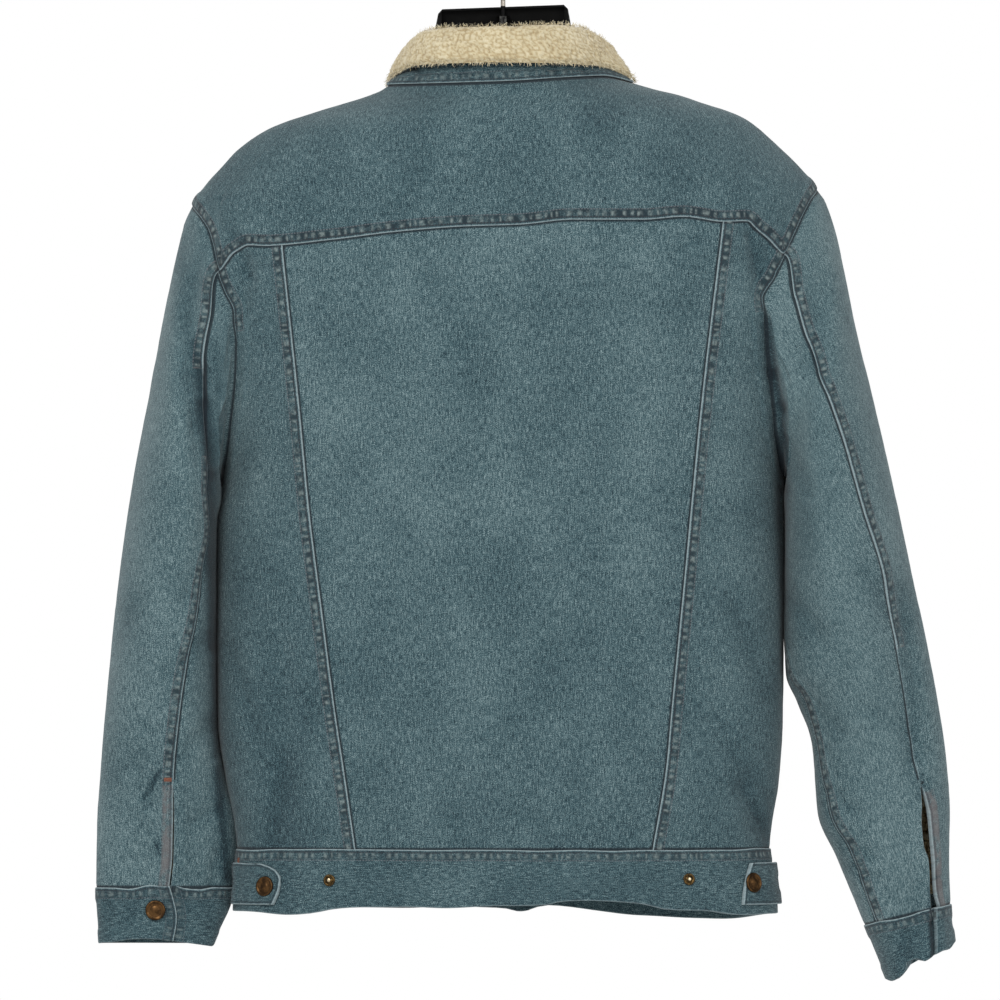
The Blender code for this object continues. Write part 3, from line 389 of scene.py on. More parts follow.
def front_yoke_turn(side, level):
    """The front yoke seam, from the armhole up to the neck."""
    at_armhole = FRONT_YOKE_AT_ARMHOLE[side]
    start = outer_turn(side, at_armhole, -1)
    share = (np.asarray(level, float) - at_armhole) / (NECK_SEAM.read("level", -45) - at_armhole)
    return start + (-FRONT_YOKE_AT_NECK_TURN - start) * np.clip(share, 0, 1)


def front_outer_turn(side, level):
    """The front panel's outer edge: side seam, then armhole, then yoke seam."""
    level = np.asarray(level, float)
    below = outer_turn(side, level, -1)
    return np.where(level > FRONT_YOKE_AT_ARMHOLE[side], front_yoke_turn(side, level), below)


def yoke_edge_knots():
    """The yoke's lower edge as rows of angle and level, from the left front round the back."""
    across_back = sorted(zip(YOKE_SEAM.knots, YOKE_SEAM.columns["level"]), reverse=True)[1:-1]
    middle = [(float(back_angle(x, level)), level) for x, level in across_back]
    return np.array(armhole_knots("left") + middle + armhole_knots("right")[::-1])


def armhole_knots(side):
    """The yoke's edge round the top of one armhole, from the front yoke seam to the back one."""
    tip = SHOULDER_TIP[side]
    knots = []
    for level in np.linspace(FRONT_YOKE_AT_ARMHOLE[side], tip, 9):
        knots.append((side_angle(side, float(outer_turn(side, level, -1))), level))
    for level in np.linspace(tip, JUNCTION[side], 13)[1:]:
        knots.append((side_angle(side, float(outer_turn(side, level, 1))), level))
    return knots


YOKE_EDGE = yoke_edge_knots()


def yoke_edge_level(angle):
    return smooth_read(YOKE_EDGE[:, 0], YOKE_EDGE[:, 1], angle)


def below_yoke_level(angle):
    """The yoke seam as the panels under it see it: level past the armholes."""
    ends = [side_angle(side, float(armhole_turn(side, JUNCTION[side]))) for side in SIDES]
    return yoke_edge_level(np.clip(angle, *ends))


def back_seam_angle(side, level):
    return back_angle(BACK_SEAMS.read(side, level), level)


def front_angle(x, level):
    return 360 - back_angle(x, level)



class Patch:
    """A region of the body between two edges that depend on level and two that depend on angle."""

    def __init__(self, first, last, bottom, top):
        self.first = first
        self.last = last
        self.bottom = bottom
        self.top = top

    def grid(self, across, upward):
        """Angles and levels at each share across and upward, as arrays of rows by columns."""
        across, upward = np.meshgrid(across, upward)
        level = np.full(across.shape, -400.0)
        for _ in range(30):
            angle = self.first(level) + across * (self.last(level) - self.first(level))
            level = self.bottom(angle) + upward * (self.top(angle) - self.bottom(angle))
        return angle, level


def even(count):
    """The shares from 0 to 1 in even steps."""
    return np.linspace(0, 1, count + 1)


def at_level(level):
    """An edge that stays on one level."""
    return lambda angle: level + 0 * angle


def side_patch(side):
    first = lambda level: side_angle(side, outer_turn(side, level, 1))
    last = lambda level: back_seam_angle(side, level)
    if side == "right":
        first, last = last, first
    return Patch(first, last, at_level(WAIST_SEAM), below_yoke_level)


def centre_patch():
    return Patch(
        lambda level: back_seam_angle("left", level),
        lambda level: back_seam_angle("right", level),
        at_level(WAIST_SEAM),
        below_yoke_level,
    )


def front_patch(side):
    """From the placket's edge to the side; the top follows the neck seam, then the front yoke seam."""
    edge = PLACKET_HALF if side == "left" else -PLACKET_HALF
    centre = lambda level: front_angle(edge, level)
    outer = lambda level: side_angle(side, front_outer_turn(side, level))
    if side == "left":
        first, last = centre, lambda level: outer(level) + 360
    else:
        first, last = outer, centre
    return Patch(first, last, at_level(WAIST_SEAM), at_level(FRONT_NECK))


def yoke_patch():
    return Patch(
        lambda level: front_yoke_turn("left", level),
        lambda level: 180 - front_yoke_turn("right", level),
        yoke_edge_level,
        lambda angle: NECK_SEAM.read("level", angle),
    )


def placket_patch():
    return Patch(
        lambda level: front_angle(-PLACKET_HALF, level),
        lambda level: front_angle(PLACKET_HALF, level),
        at_level(WAIST_SEAM),
        at_level(FRONT_NECK),
    )


# ---------------------------------------------------------------- waist tabs

TAB_SIDE_TURN = {"left": 8.0, "right": -5.0}
TAB_ENDS = {
    "left": Table("level x", [(-813, 189), (-800, 184.6), (-793, 184.6), (-783, 190), (-778, 200)]),
    "right": Table("level x", [(-814, -196), (-800, -197.5), (-782, -201.5), (-778, -203)]),
}
TAB_TOP = -778.5
TAB_BOTTOM = -811.0


def tab_patch(side):
    near = lambda level: side_angle(side, TAB_SIDE_TURN[side]) + 0 * level
    end = lambda level: back_angle(TAB_ENDS[side].read("x", level), level)
    if side == "right":
        near, end = end, near
    return Patch(near, end, at_level(TAB_BOTTOM), at_level(TAB_TOP))


# ---------------------------------------------------------------- the sleeves' surface

# Each row is a ring round the sleeve. outer and inner: its ends seen from the back. back, front: half
# depths. middle: how far it stands back. dish: how far the ring curves in at its back and front.
# elbow, inseam: the angles of the two seams, from the outer end over the back.
SLEEVE_COLUMNS = "row outer_x outer_z inner_x inner_z back front middle dish elbow inseam"
SLEEVES = {
    "left": Table(SLEEVE_COLUMNS, read_rows("""
0 255.5 -235 230 -461 48 47 0 -25 60 202
1 262 -251.6 231.5 -466 61 60 0 -13 73 202
2 268 -273 235 -472 69 68 0 -5 85 202
3 277.3 -316 237 -482 75 74 0 0 119 202
4 285 -357 237.5 -497 78 77 0 0 130 202
5 293.3 -401.5 237.4 -518 78 77 -1 0 138 202
6 305 -462.5 237.3 -549 73 73 -2 0 131 202
7 314 -522.7 237.2 -590 66 66 -3 0 123 202
8 322.2 -594.4 236.5 -640 58 58 -4 0 111 203
9 327.5 -648.7 234 -677 50 50 -5 0 105 204
10 331.7 -701.5 229 -712 41 42 -6 0 98 205
11 334.5 -742.7 223.2 -745 32 34 -7 0 94 206
12 335.4 -799 223.5 -799 24 26 -8 0 93 206
13 332.9 -843.5 238.5 -844 22 24 -8 0 88 206
""")),
    "right": Table(SLEEVE_COLUMNS, read_rows("""
0 -258 -222 -231 -461 48 47 0 26 60 195
1 -265 -234 -232.5 -465 61 60 0 14 71 195
2 -273 -255 -234 -471 69 68 0 5 81.5 195
3 -281 -289.5 -235 -481 74 73 0 0 83 193
4 -291 -339 -236 -496 77 76 0 0 76 190
5 -303.5 -390 -236 -517 77 76 -1 0 70 188
6 -320.5 -463 -235 -549 73 72 -2 0 64 184
7 -335.5 -533.5 -235 -590 64 64 -3 0 55 176
8 -348 -591 -236.5 -622 55 56 -4 0 56 162
9 -357.5 -640 -245 -646 47 48 -5 0 58 152
10 -365 -690 -256.5 -683 41 42 -6 0 60 155
11 -368.3 -736 -259 -735 39 40 -7 0 49 142
12 -367.8 -775 -276 -776 39 40 -8 0 47 133
13 -369 -812.7 -298.3 -830 38 40 -9 0 52 134
14 -372.4 -842.4 -315.6 -872.9 38 39 -9 0 52 134
""")),
}
SLEEVE_FULL = 0.05

# How the sleeve's first rings are fitted to the armhole
FITTED_ROWS = 2.5  # by this row the ring is the table's own
CLEAR_OF_EDGE = 2.0  # how far inside the armhole the sleeve keeps
CLEAR_ROW = 2 / 3  # the row by which the sleeve has moved that far into the armhole
SLEEVE_UNDER = 3.2  # how far the sleeve reaches under the body at the armhole
SLEEVE_SUNK = 1.2  # how deep it lies there
INSEAM_SHARE = 0.12  # where the inseam meets the armhole, as a share of its front edge
SEAM_LOOK = 0.3  # a ring past the end, in rows, from which the last normals are taken


def armhole_loop(side):
    """The armhole's edge from the shoulder tip over the back to the armpit and up the front.

    Returns points, the body's normals there and the directions from the panels into the hole.
    """
    tip = SHOULDER_TIP[side]
    back = np.concatenate(
        [
            np.linspace(tip, JUNCTION[side], BACK_TIP_STEPS + 1)[:-1],
            np.linspace(JUNCTION[side], ARMPIT, ARM_ROWS + 1)[:-1],
        ]
    )
    front = np.linspace(ARMPIT, tip, FRONT_ROWS + 1)[:-1]
    turns = np.concatenate([outer_turn(side, back, 1), outer_turn(side, front, -1)])
    levels = np.concatenate([back, front])
    angles = side_angle(side, turns)
    points = body_point(angles, levels)
    normals = body_normal(angles, levels)
    tangents = unit(np.roll(points, -1, axis=0) - np.roll(points, 1, axis=0))
    into = unit(np.cross(tangents, normals))
    away = np.sum(into * (points.mean(axis=0) - points), axis=-1)
    into[away < 0] *= -1
    return points, normals, into


ELBOW_COLUMN = BACK_TIP_STEPS
ARMPIT_COLUMN = BACK_TIP_STEPS + ARM_ROWS
INSEAM_COLUMN = ARMPIT_COLUMN + round(INSEAM_SHARE * FRONT_ROWS)
LOOP_COLUMNS = ARMPIT_COLUMN + FRONT_ROWS

# How far the cloth leans from the solid's inner edge towards the body, by row
SNUG = {
    "left": Table("row lean", read_rows("""
0 0
1 -2.5
2 -3.8
3 -5.5
4 -2.5
5 -2
7 -1.8
8 -1.2
9 0
10 -2
11 -5.5
11.5 -6
12 -2.5
13 0
""")),
    "right": Table("row lean", read_rows("""
0 0
1 1.2
2 2.2
3 3.8
4 4
5 4
6 3.2
7 3.2
8 3.5
9 2.5
10 1.5
11 0
""")),
}


def plain_sleeve(side, row, angle):
    """A point of the sleeve's rings, before it is fitted to the armhole."""
    table = SLEEVES[side]
    value = {name: table.read(name, row) for name in table.columns}
    c = np.cos(np.radians(angle))
    s = np.sin(np.radians(angle))
    reach = c * (1 + SLEEVE_FULL * s * s)
    inner_x = value["inner_x"] + SNUG[side].read("lean", row)
    outer_x = value["outer_x"]
    outer_z = value["outer_z"]
    inner_z = value["inner_z"]
    x = (outer_x + inner_x) / 2 + (outer_x - inner_x) / 2 * reach
    z = (outer_z + inner_z) / 2 + (outer_z - inner_z) / 2 * reach
    x = x + value["dish"] * s * s
    depth = np.where(s >= 0, value["back"], value["front"])
    y = value["middle"] + depth * s * (1 + SLEEVE_FULL * c * c)
    back, front = pressed_in(x, z, s)
    return np.stack([x, y - back + front, z], axis=-1)


def loop_angles(side, points):
    """The ring angle of each armhole point, from its height."""
    table = SLEEVES[side]
    top = table.columns["outer_z"][0]
    low = table.columns["inner_z"][0]
    turned = np.degrees(np.arccos(np.clip(2 * (points[:, 2] - low) / (top - low) - 1, -1, 1)))
    return np.where(np.arange(len(turned)) > ARMPIT_COLUMN, 360 - turned, turned)


def ring_angles(side, rows):
    """Ring angles for each row and column, with the elbow seam and the inseam each on one column."""
    points, _, _ = armhole_loop(side)
    loop = loop_angles(side, points)
    marks = [0, ELBOW_COLUMN, INSEAM_COLUMN, LOOP_COLUMNS]
    at_loop = np.append(loop, 360.0)
    fade = 1 - smooth_step(rows)
    elbow = SLEEVES[side].read("elbow", rows)
    inseam = SLEEVES[side].read("inseam", rows)
    elbow = elbow + (at_loop[ELBOW_COLUMN] - elbow) * fade
    inseam = inseam + (at_loop[INSEAM_COLUMN] - inseam) * fade
    ends = [0 * rows, elbow, inseam, 360 + 0 * rows]
    angles = np.zeros((len(rows), LOOP_COLUMNS))
    for k in range(3):
        start, stop = marks[k], marks[k + 1]
        span = at_loop[stop] - at_loop[start]
        even_share = np.linspace(0, 1, stop - start + 1)[:-1]
        loop_share = (at_loop[start:stop] - at_loop[start]) / span
        share = even_share + (loop_share - even_share) * fade[:, None]
        angles[:, start:stop] = ends[k][:, None] + share * (ends[k + 1] - ends[k])[:, None]
    return angles


def sleeve_grid(side, rows):
    """Points and outward normals of the sleeve, rows by columns, fitted to the armhole."""
    points, normals, into = armhole_loop(side)
    rows = np.append(rows, rows[-1] + SEAM_LOOK)
    angles = ring_angles(side, rows)
    grid = plain_sleeve(side, rows[:, None], angles)
    start = plain_sleeve(side, np.zeros((1, 1)), ring_angles(side, np.zeros(1)))
    fade = (1 - smooth_step(rows / FITTED_ROWS))[:, None, None]
    grid = grid + (points - start) * fade
    grid[0] = points + HALF_GAP * into
    leaving = 1 - smooth_step((rows - 2 * CLEAR_ROW) / CLEAR_ROW)
    clear = CLEAR_OF_EDGE * rows / CLEAR_ROW * leaving
    past_edge = np.sum((grid - grid[0]) * into, axis=-1, keepdims=True)
    grid += np.clip(clear[:, None, None] - past_edge, 0, None) * into * (clear > 0)[:, None, None]
    ahead = np.gradient(grid, axis=0)
    round_ = np.roll(grid, -1, axis=1) - np.roll(grid, 1, axis=1)
    out = unit(np.cross(round_, ahead))
    out = facing_out(out, grid - grid.mean(axis=1, keepdims=True))
    for _ in range(4):
        out = unit(out + np.roll(out, 1, axis=1) + np.roll(out, -1, axis=1))
    out[0] = normals
    under = points - SLEEVE_UNDER * into - SLEEVE_SUNK * normals
    grid = np.concatenate([under[None], grid[:-1]])
    out = np.concatenate([normals[None], out[:-1]])
    return grid, out


# ---------------------------------------------------------------- cloth on a grid of points

# Distances from an edge, in millimetres, at which a piece has points
LAP_MARKS = np.array([0, 0.3, 0.8, 1.5, 2.6, 4, 5.6, 7.4, 9.4])
TUCK_MARKS = np.array([0, 1.5, 3, 5])
PLAIN_MARKS = np.array([0, 1.2])

# How an edge is finished, as the strength of its lap: under 0.85 its stitches fade
TUCKED = 0.0
STITCHED = 1.0
DARKER = 1.25  # with a darker band between the stitches
FOLDED = 1.5  # no stitches
WHOLE_LAP = 0.3  # the least strength at which an edge lies over its neighbour
SET_IN = "set in"  # a tucked edge that already lies under its neighbour

# How far edges stand, reach and drop
LAP_HEIGHT = 0.9  # how far a lap stands over the cloth beside it
LAP_WIDTH = 8.0
LAP_FADE = 5.0
LAP_ROUND = 0.8  # the radius of its folded rim
LAP_OVER = 0.8  # how far a lapped edge reaches over its neighbour
LAP_OVER_WIDTH = 3.0
TUCK_UNDER = 3.0  # how far a tucked edge reaches under its neighbour
TUCK_UNDER_WIDTH = 6.0
TUCK_DROP = 1.1  # how deep it lies there
TUCK_DROP_WIDTH = 5.0
SET_IN_DROP = 0.6  # the same for an edge that is set in, as a share
FAR = 99.0

# Unevenness of every piece, the random drift of its dye, and the painted shade in its creases and folds,
# which also stands for their less worn, darker denim
RIPPLE = 0.2
RIPPLE_SIZE = 18
FINE_RIPPLE = 0.1
FINE_RIPPLE_SIZE = 6
TONE_DRIFT = 0.25
TONE_DRIFT_SIZE = 45
CREASE_SHADE_AND_TONE = 0.5
FOLD_SHADE_AND_TONE = 0.12

LINING_STEP = 4  # the lining has a point for so many of the outer face's
SEAM_TURN = 2  # so many rows of the lining are denim turned in along every edge
LINE_STEP = 0.7  # how finely an edge is followed when distances from it are measured
RANDOM_VALUES = 4096
PRIMES = np.array([73856093, 19349663, 83492791])


def cell_key(cells):
    """Which of the random values belongs to each cell of whole numbers."""
    return np.bitwise_xor.reduce(cells * PRIMES[: cells.shape[-1]], axis=-1) & (RANDOM_VALUES - 1)


def soft_noise(places, size, seed):
    """Smooth values from -1 to 1 that change over a size, the same for the same seed."""
    table = np.random.default_rng(seed).uniform(-1, 1, RANDOM_VALUES)
    cell = np.asarray(places, float) / size
    low = np.floor(cell).astype(np.int64)
    share = smooth_step(cell - low)
    total = np.zeros(cell.shape[:-1])
    for corner in np.ndindex(*(2,) * cell.shape[-1]):
        total += np.prod(np.where(corner, share, 1 - share), axis=-1) * table[cell_key(low + corner)]
    return total


def respaced(sheet, start, end, step):
    """The lines of a grid with their points at marked distances from both ends and evenly between."""
    lines = []
    runs = np.array([run_along(line[:, :3]) for line in sheet])
    free = runs[:, -1].mean() - start[-1] - end[-1]
    share = np.linspace(0, 1, max(1, round(free / step)) + 1)
    for line, run in zip(sheet, runs):
        middle = start[-1] + share * (run[-1] - start[-1] - end[-1])
        places = np.concatenate([start[:-1], middle, run[-1] - end[-2::-1]])
        lines.append(resampled(line, run, places))
    return np.array(lines)


def edge_line(grid, edge, inset=0):
    """A grid's points along one edge, or so many lines in from it."""
    last = -1 - inset
    return {"start": grid[inset], "end": grid[last], "first": grid[:, inset], "last": grid[:, last]}[edge]


def measured(points, line):
    """Distance from a line and the run along it, for every point of a grid."""
    run = run_along(line)
    at = np.arange(0, run[-1], LINE_STEP)
    fine = resampled(line, run, at)
    ahead = unit(np.gradient(fine, axis=0))
    tree = KDTree(len(fine))
    for k, place in enumerate(fine):
        tree.insert(place, k)
    tree.balance()
    flat = points.reshape(-1, 3)
    nearest = np.array([tree.find(place)[1] for place in flat])
    apart = flat - fine[nearest]
    along = np.sum(apart * ahead[nearest], axis=-1)
    distance = np.linalg.norm(apart - along[:, None] * ahead[nearest], axis=-1)
    shape = points.shape[:-1]
    return distance.reshape(shape), (at[nearest] + along).reshape(shape)


def lap_lift(distance):
    """How far a lapped edge stands over the cloth, with its folded rim."""
    flat = LAP_HEIGHT * (1 - smooth_step((distance - LAP_WIDTH) / LAP_FADE))
    inside = np.clip(LAP_ROUND - distance, 0, None)
    return flat - (LAP_ROUND - np.sqrt(LAP_ROUND**2 - inside**2))


def outward_from(points, edge):
    """Directions out of the piece along its surface, for every point of a grid."""
    away = unit(edge_line(points, edge) - edge_line(points, edge, 1))
    return away[None, :] if edge in ("start", "end") else away[:, None]


def run_across(points, axis):
    """Distance along the lines of a grid, from its middle line."""
    steps = np.linalg.norm(np.diff(points, axis=axis), axis=-1)
    first = np.zeros_like(np.take(steps, [0], axis=axis))
    run = np.concatenate([first, np.cumsum(steps, axis=axis)], axis=axis)
    middle = np.take(run, [run.shape[axis] // 2], axis=axis)
    return run - middle


class Cloth:
    """A piece of denim with its lining, from a grid of points and normals.

    edges gives each edge's finish: SET_IN, a strength or a function that gives it by height.
    across: the cloth's long threads run along the rows.
    """

    def __init__(self, name, sheet, wall, edges, tone=0.0, across=False, step=STEP, seed=1):
        self.name = name
        self.wall = wall
        marks = {edge: self.marks(edges.get(edge)) for edge in ("start", "end", "first", "last")}
        sheet = respaced(sheet, marks["first"], marks["last"], step)
        sheet = respaced(sheet.swapaxes(0, 1), marks["start"], marks["end"], step).swapaxes(0, 1)
        self.base = sheet[..., :3]
        self.normal = unit(sheet[..., 3:])
        self.height = np.zeros(self.base.shape[:2])
        self.shift = np.zeros_like(self.base)
        self.seams = {}
        self.pressed = np.zeros(self.height.shape)
        self.tuck = np.full(self.height.shape, FAR)
        for edge, lap in edges.items():
            self.fit_edge(edge, lap)
        u = run_across(self.base, 1)
        v = run_across(self.base, 0)
        if across:
            u, v = v, u
        self.weave = np.stack([u, v, np.full(u.shape, seed * 17.0)], axis=-1)
        ripples = RIPPLE * soft_noise(self.base, RIPPLE_SIZE, seed)
        self.height += ripples + FINE_RIPPLE * soft_noise(self.base, FINE_RIPPLE_SIZE, seed + 1)
        self.wash_and_shade = tone + TONE_DRIFT * soft_noise(self.base, TONE_DRIFT_SIZE, seed + 2)

    @staticmethod
    def marks(lap):
        if lap is None:
            return PLAIN_MARKS
        if callable(lap) or lap not in (TUCKED, SET_IN):
            return LAP_MARKS
        return TUCK_MARKS

    def fit_edge(self, edge, lap):
        """Shape one edge and note how far each point is from it, for the material."""
        set_in = lap == SET_IN
        lap = TUCKED if set_in else lap
        line = edge_line(self.base, edge)
        distance, run = measured(self.base, line)
        if callable(lap):
            strength = np.interp(run, run_along(line), lap(line[:, 2]))
        else:
            strength = np.full(distance.shape, lap)
        lapped = smooth_step(strength / WHOLE_LAP)
        hidden = (distance - (SLEEVE_UNDER - TUCK_UNDER)) * 2 / 3 if set_in else distance
        drop = TUCK_DROP * (SET_IN_DROP if set_in else 1.0) * (1 - smooth_step(hidden / TUCK_DROP_WIDTH))
        self.height += lapped * lap_lift(distance) - (1 - lapped) * drop
        reach = lapped * LAP_OVER * np.clip(1 - distance / LAP_OVER_WIDTH, 0, 1)
        if not set_in:
            reach += (1 - lapped) * TUCK_UNDER * np.clip(1 - distance / TUCK_UNDER_WIDTH, 0, 1)
        self.shift += reach[..., None] * outward_from(self.base, edge)
        self.tuck = np.minimum(self.tuck, np.where(lapped < 0.5, hidden, FAR))
        pair = "seam_rows" if edge in ("start", "end") else "seam_columns"
        here = np.stack([distance, run, strength], axis=-1)
        here[lapped < 0.05, 0] = FAR
        before = self.seams.get(pair, np.full(here.shape, FAR))
        self.seams[pair] = np.where(here[..., :1] < before[..., :1], here, before)

    def crease(self, fine, large, facing):
        """Press in fine troughs on the side of the jacket that faces +Y (1) or -Y (-1).

        The large ones are in the form already. Both are painted darker: shade, and the less worn denim in
        the folds.
        """
        x = self.base[..., 0]
        z = self.base[..., 2]
        here = smooth_step(FADE_AT_SIDES * facing * self.normal[..., 1])
        pressed = trough(x, z, fine) * here
        self.height -= pressed
        self.pressed += pressed
        self.wash_and_shade -= CREASE_SHADE_AND_TONE * pressed + FOLD_SHADE_AND_TONE * trough(x, z, large) * here
        # painted shade along the deep folds of the table, on the faces seen from behind
        if facing > 0:
            seen_from_behind = smooth_step(FADE_AT_SIDES * self.normal[..., 1] + 1.5)
            self.wash_and_shade -= trough(x, z, PAINTED_SHADE) * seen_from_behind

    def outer(self):
        return self.base + self.shift + self.height[..., None] * self.normal

    def build(self, lining):
        """The piece as an object, with what its material needs to know at each point."""
        outer = self.outer()
        inner = self.base + self.shift - (self.wall + self.pressed)[..., None] * self.normal
        # the wash value holds each piece's own tone, darkened by shade painted into its folds, under the
        # arms and under the collar's fall
        values = {"cloth": self.weave, "tuck": self.tuck, "wash_and_shade": self.wash_and_shade}
        for pair in ("seam_rows", "seam_columns"):
            values[pair] = self.seams.get(pair, np.full(outer.shape, FAR))
        item = shell(self.name + "_cloth", outer, inner, values, ("denim", lining))
        return handed_in(item, self.name)

    def spot(self, x, z):
        """The place of the outer face at x and z on the jacket's back, its normal and the way across."""
        outer = self.outer().reshape(-1, 3)
        normal = self.normal.reshape(-1, 3)
        away = np.hypot(outer[:, 0] - x, outer[:, 2] - z)
        away[normal[:, 1] < 0.1] = np.inf
        nearest = int(np.argmin(away))
        across = unit(np.cross(normal[nearest], (0, 0, 1)))
        return outer[nearest], normal[nearest], across

    def cut(self):
        """Width, length and area of the flat piece, in metres."""
        wide = np.linalg.norm(np.diff(self.base, axis=1), axis=-1)
        long = np.linalg.norm(np.diff(self.base, axis=0), axis=-1)
        across = np.diff(self.base, axis=1)[1:]
        along = np.diff(self.base, axis=0)[:, 1:]
        area = np.linalg.norm(np.cross(across, along), axis=-1).sum()
        width = np.quantile(wide.sum(axis=1), 0.9)
        length = np.quantile(long.sum(axis=0), 0.9)
        return width * MM, length * MM, min(area, width * length) * MM * MM


def shell(name, outer, inner, values, materials):
    """A closed shell: fine outer faces, and a lining of every fourth point joined by its rim."""
    rows, columns = outer.shape[:2]
    pick_rows = np.unique(np.append(np.arange(0, rows, LINING_STEP), rows - 1))
    pick_columns = np.unique(np.append(np.arange(0, columns, LINING_STEP), columns - 1))
    index = np.arange(rows * columns).reshape(rows, columns)
    lining = rows * columns + np.arange(len(pick_rows) * len(pick_columns))
    lining = lining.reshape(len(pick_rows), len(pick_columns))
    picked = np.ix_(pick_rows, pick_columns)
    points = np.concatenate([outer.reshape(-1, 3), inner[picked].reshape(-1, 3)])
    faces = quads(index) + quads(lining[::-1])
    for fine, coarse, picks in (
        (index[0], lining[0], pick_columns),
        (index[-1][::-1], lining[-1][::-1], (columns - 1 - pick_columns)[::-1]),
        (index[::-1, 0], lining[::-1, 0], (rows - 1 - pick_rows)[::-1]),
        (index[:, -1], lining[:, -1], pick_rows),
    ):
        for k in range(len(coarse) - 1):
            along = list(fine[picks[k] : picks[k + 1] + 1])
            faces.append(along[::-1] + [coarse[k], coarse[k + 1]])
    faces = [[int(corner) for corner in face] for face in faces]
    outer_count = (rows - 1) * (columns - 1)
    lining_count = (len(pick_rows) - 1) * (len(pick_columns) - 1)
    layer = np.zeros(len(faces), int)
    inside = np.zeros((len(pick_rows) - 1, len(pick_columns) - 1), int)
    inside[SEAM_TURN:-SEAM_TURN, SEAM_TURN:-SEAM_TURN] = 1
    layer[outer_count : outer_count + lining_count] = inside[::-1].ravel()
    out = np.cross(outer[:-1, 1:] - outer[:-1, :-1], outer[1:, :-1] - outer[:-1, :-1])
    if np.sum(out * (outer - inner)[:-1, :-1]) < 0:
        faces = [face[::-1] for face in faces]
    item = mesh_item(name, points, faces, materials, layer)
    for key, value in values.items():
        value = value.reshape(rows, columns, -1)
        parts = [part.reshape(-1, value.shape[-1]) for part in (value, value[picked])]
        add_attribute(item, key, np.concatenate(parts))
    return item


def quads(index):
    """The faces of a grid of point numbers."""
    corners = [index[:-1, :-1], index[:-1, 1:], index[1:, 1:], index[1:, :-1]]
    return np.stack([corner.ravel() for corner in corners], axis=-1).tolist()


def mesh_item(name, points, faces, materials, layer=None):
    """An object from points in millimetres, smooth, riding nothing yet."""
    mesh = bpy.data.meshes.new(name)
    mesh.from_pydata((np.asarray(points) * MM).tolist(), [], faces)
    for material in materials:
        mesh.materials.append(MATERIALS[material])
    if layer is not None:
        mesh.polygons.foreach_set("material_index", np.asarray(layer, np.int32))
    mesh.shade_smooth()
    mesh.set_sharp_from_angle(angle=math.radians(50))
    item = bpy.data.objects.new(name, mesh)
    bpy.context.scene.collection.objects.link(item)
    return item


def handed_in(item, replaced=None):
    """Attach the piece to the root body, and hide the solid that it stands for, if any."""
    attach(item, "root")
    if replaced:
        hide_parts(replaced)
    return item


def add_attribute(item, name, values):
    kind = "FLOAT" if values.shape[-1] == 1 else "FLOAT_VECTOR"
    layer = item.data.attributes.new(name, kind, "POINT")
    layer.data.foreach_set("value" if kind == "FLOAT" else "vector", values.astype(np.float32).ravel())


# ---------------------------------------------------------------- the body's pieces

# How much darker or lighter each piece is than the back's middle
TONES = {
    "back_yoke": -0.6,
    "back_side_left": -0.3,
    "back_side_right": -0.15,
    "waistband_back": -0.4,
    "waistband_left": -0.4,
    "waistband_right": -0.4,
    "waist_tab_left": -0.6,
    "waist_tab_right": -0.6,
    "collar_under": -0.3,
    "top_sleeve_left": 0.4,
    "top_sleeve_right": 0.5,
    "under_sleeve_left": 0.15,
    "under_sleeve_right": 0.6,
    "cuff_left": -1.2,
    "cuff_right": -0.9,
}

LOWER_BACK = -430.0
LOWER_BACK_TONE = 0.45  # darker towards the hem
LOWER_BACK_FADE = 260.0

# Finer creases that the solids leave out: x1, z1, x2, z2, depth, reach
BACK_CREASES = read_rows("""
212 -292 222 -262 1.6 4
206 -300 214 -268 1.0 4
-203 -262 -212 -300 1.6 4
-213 -258 -222 -290 1.2 4
170 -262 150 -275 0.8 6
-160 -262 -140 -280 0.8 6
-198 -715 -221 -762 2.2 6
-205 -700 -222 -728 1.2 5
225 -600 200 -680 1.4 8
182 -690 190 -760 1.6 8
160 -640 172 -720 0.9 10
-190 -560 -215 -640 1.2 9
-175 -660 -200 -705 1.0 8
90 -735 100 -766 0.8 6
40 -742 30 -766 0.8 6
-30 -740 -42 -766 0.8 6
-85 -745 -80 -766 0.8 6
60 -300 20 -380 0.6 18
-70 -330 -30 -450 0.6 18
20 -520 -50 -640 0.6 20
""")
FRONT_CREASES = read_rows("""
205 -300 190 -350 1.6 5
-205 -300 -190 -350 1.6 5
180 -560 150 -660 1.4 9
-170 -600 -150 -690 1.4 9
120 -690 135 -766 1.2 7
-110 -700 -120 -766 1.2 7
60 -730 55 -766 0.9 6
-70 -735 -66 -766 0.9 6
""")
SLEEVE_BACK_CREASES = read_rows("""
255 -300 243 -262 1.4 5
262 -330 250 -300 1.2 6
245 -372 252 -420 1.6 6
236 -520 262 -560 1.2 8
240 -590 275 -620 1.5 8
300 -560 322 -600 1.3 8
238 -660 265 -690 1.4 7
300 -690 325 -710 1.2 7
286 -706 292 -730 1.6 4
300 -700 296 -722 1.2 4
232 -730 255 -745 1.4 6
235 -770 240 -800 1.5 5
-255 -330 -244 -290 1.2 6
-232 -430 -250 -470 1.4 7
-236 -560 -262 -590 1.4 8
-300 -540 -325 -580 1.3 9
-245 -640 -275 -668 1.4 8
-300 -650 -330 -668 1.3 8
-330 -555 -340 -690 1.6 7
-268 -720 -292 -735 1.4 6
-280 -760 -305 -772 1.4 6
-286 -780 -308 -792 1.3 5
-345 -708 -352 -722 1.8 4
-340 -716 -352 -732 1.2 4
""")
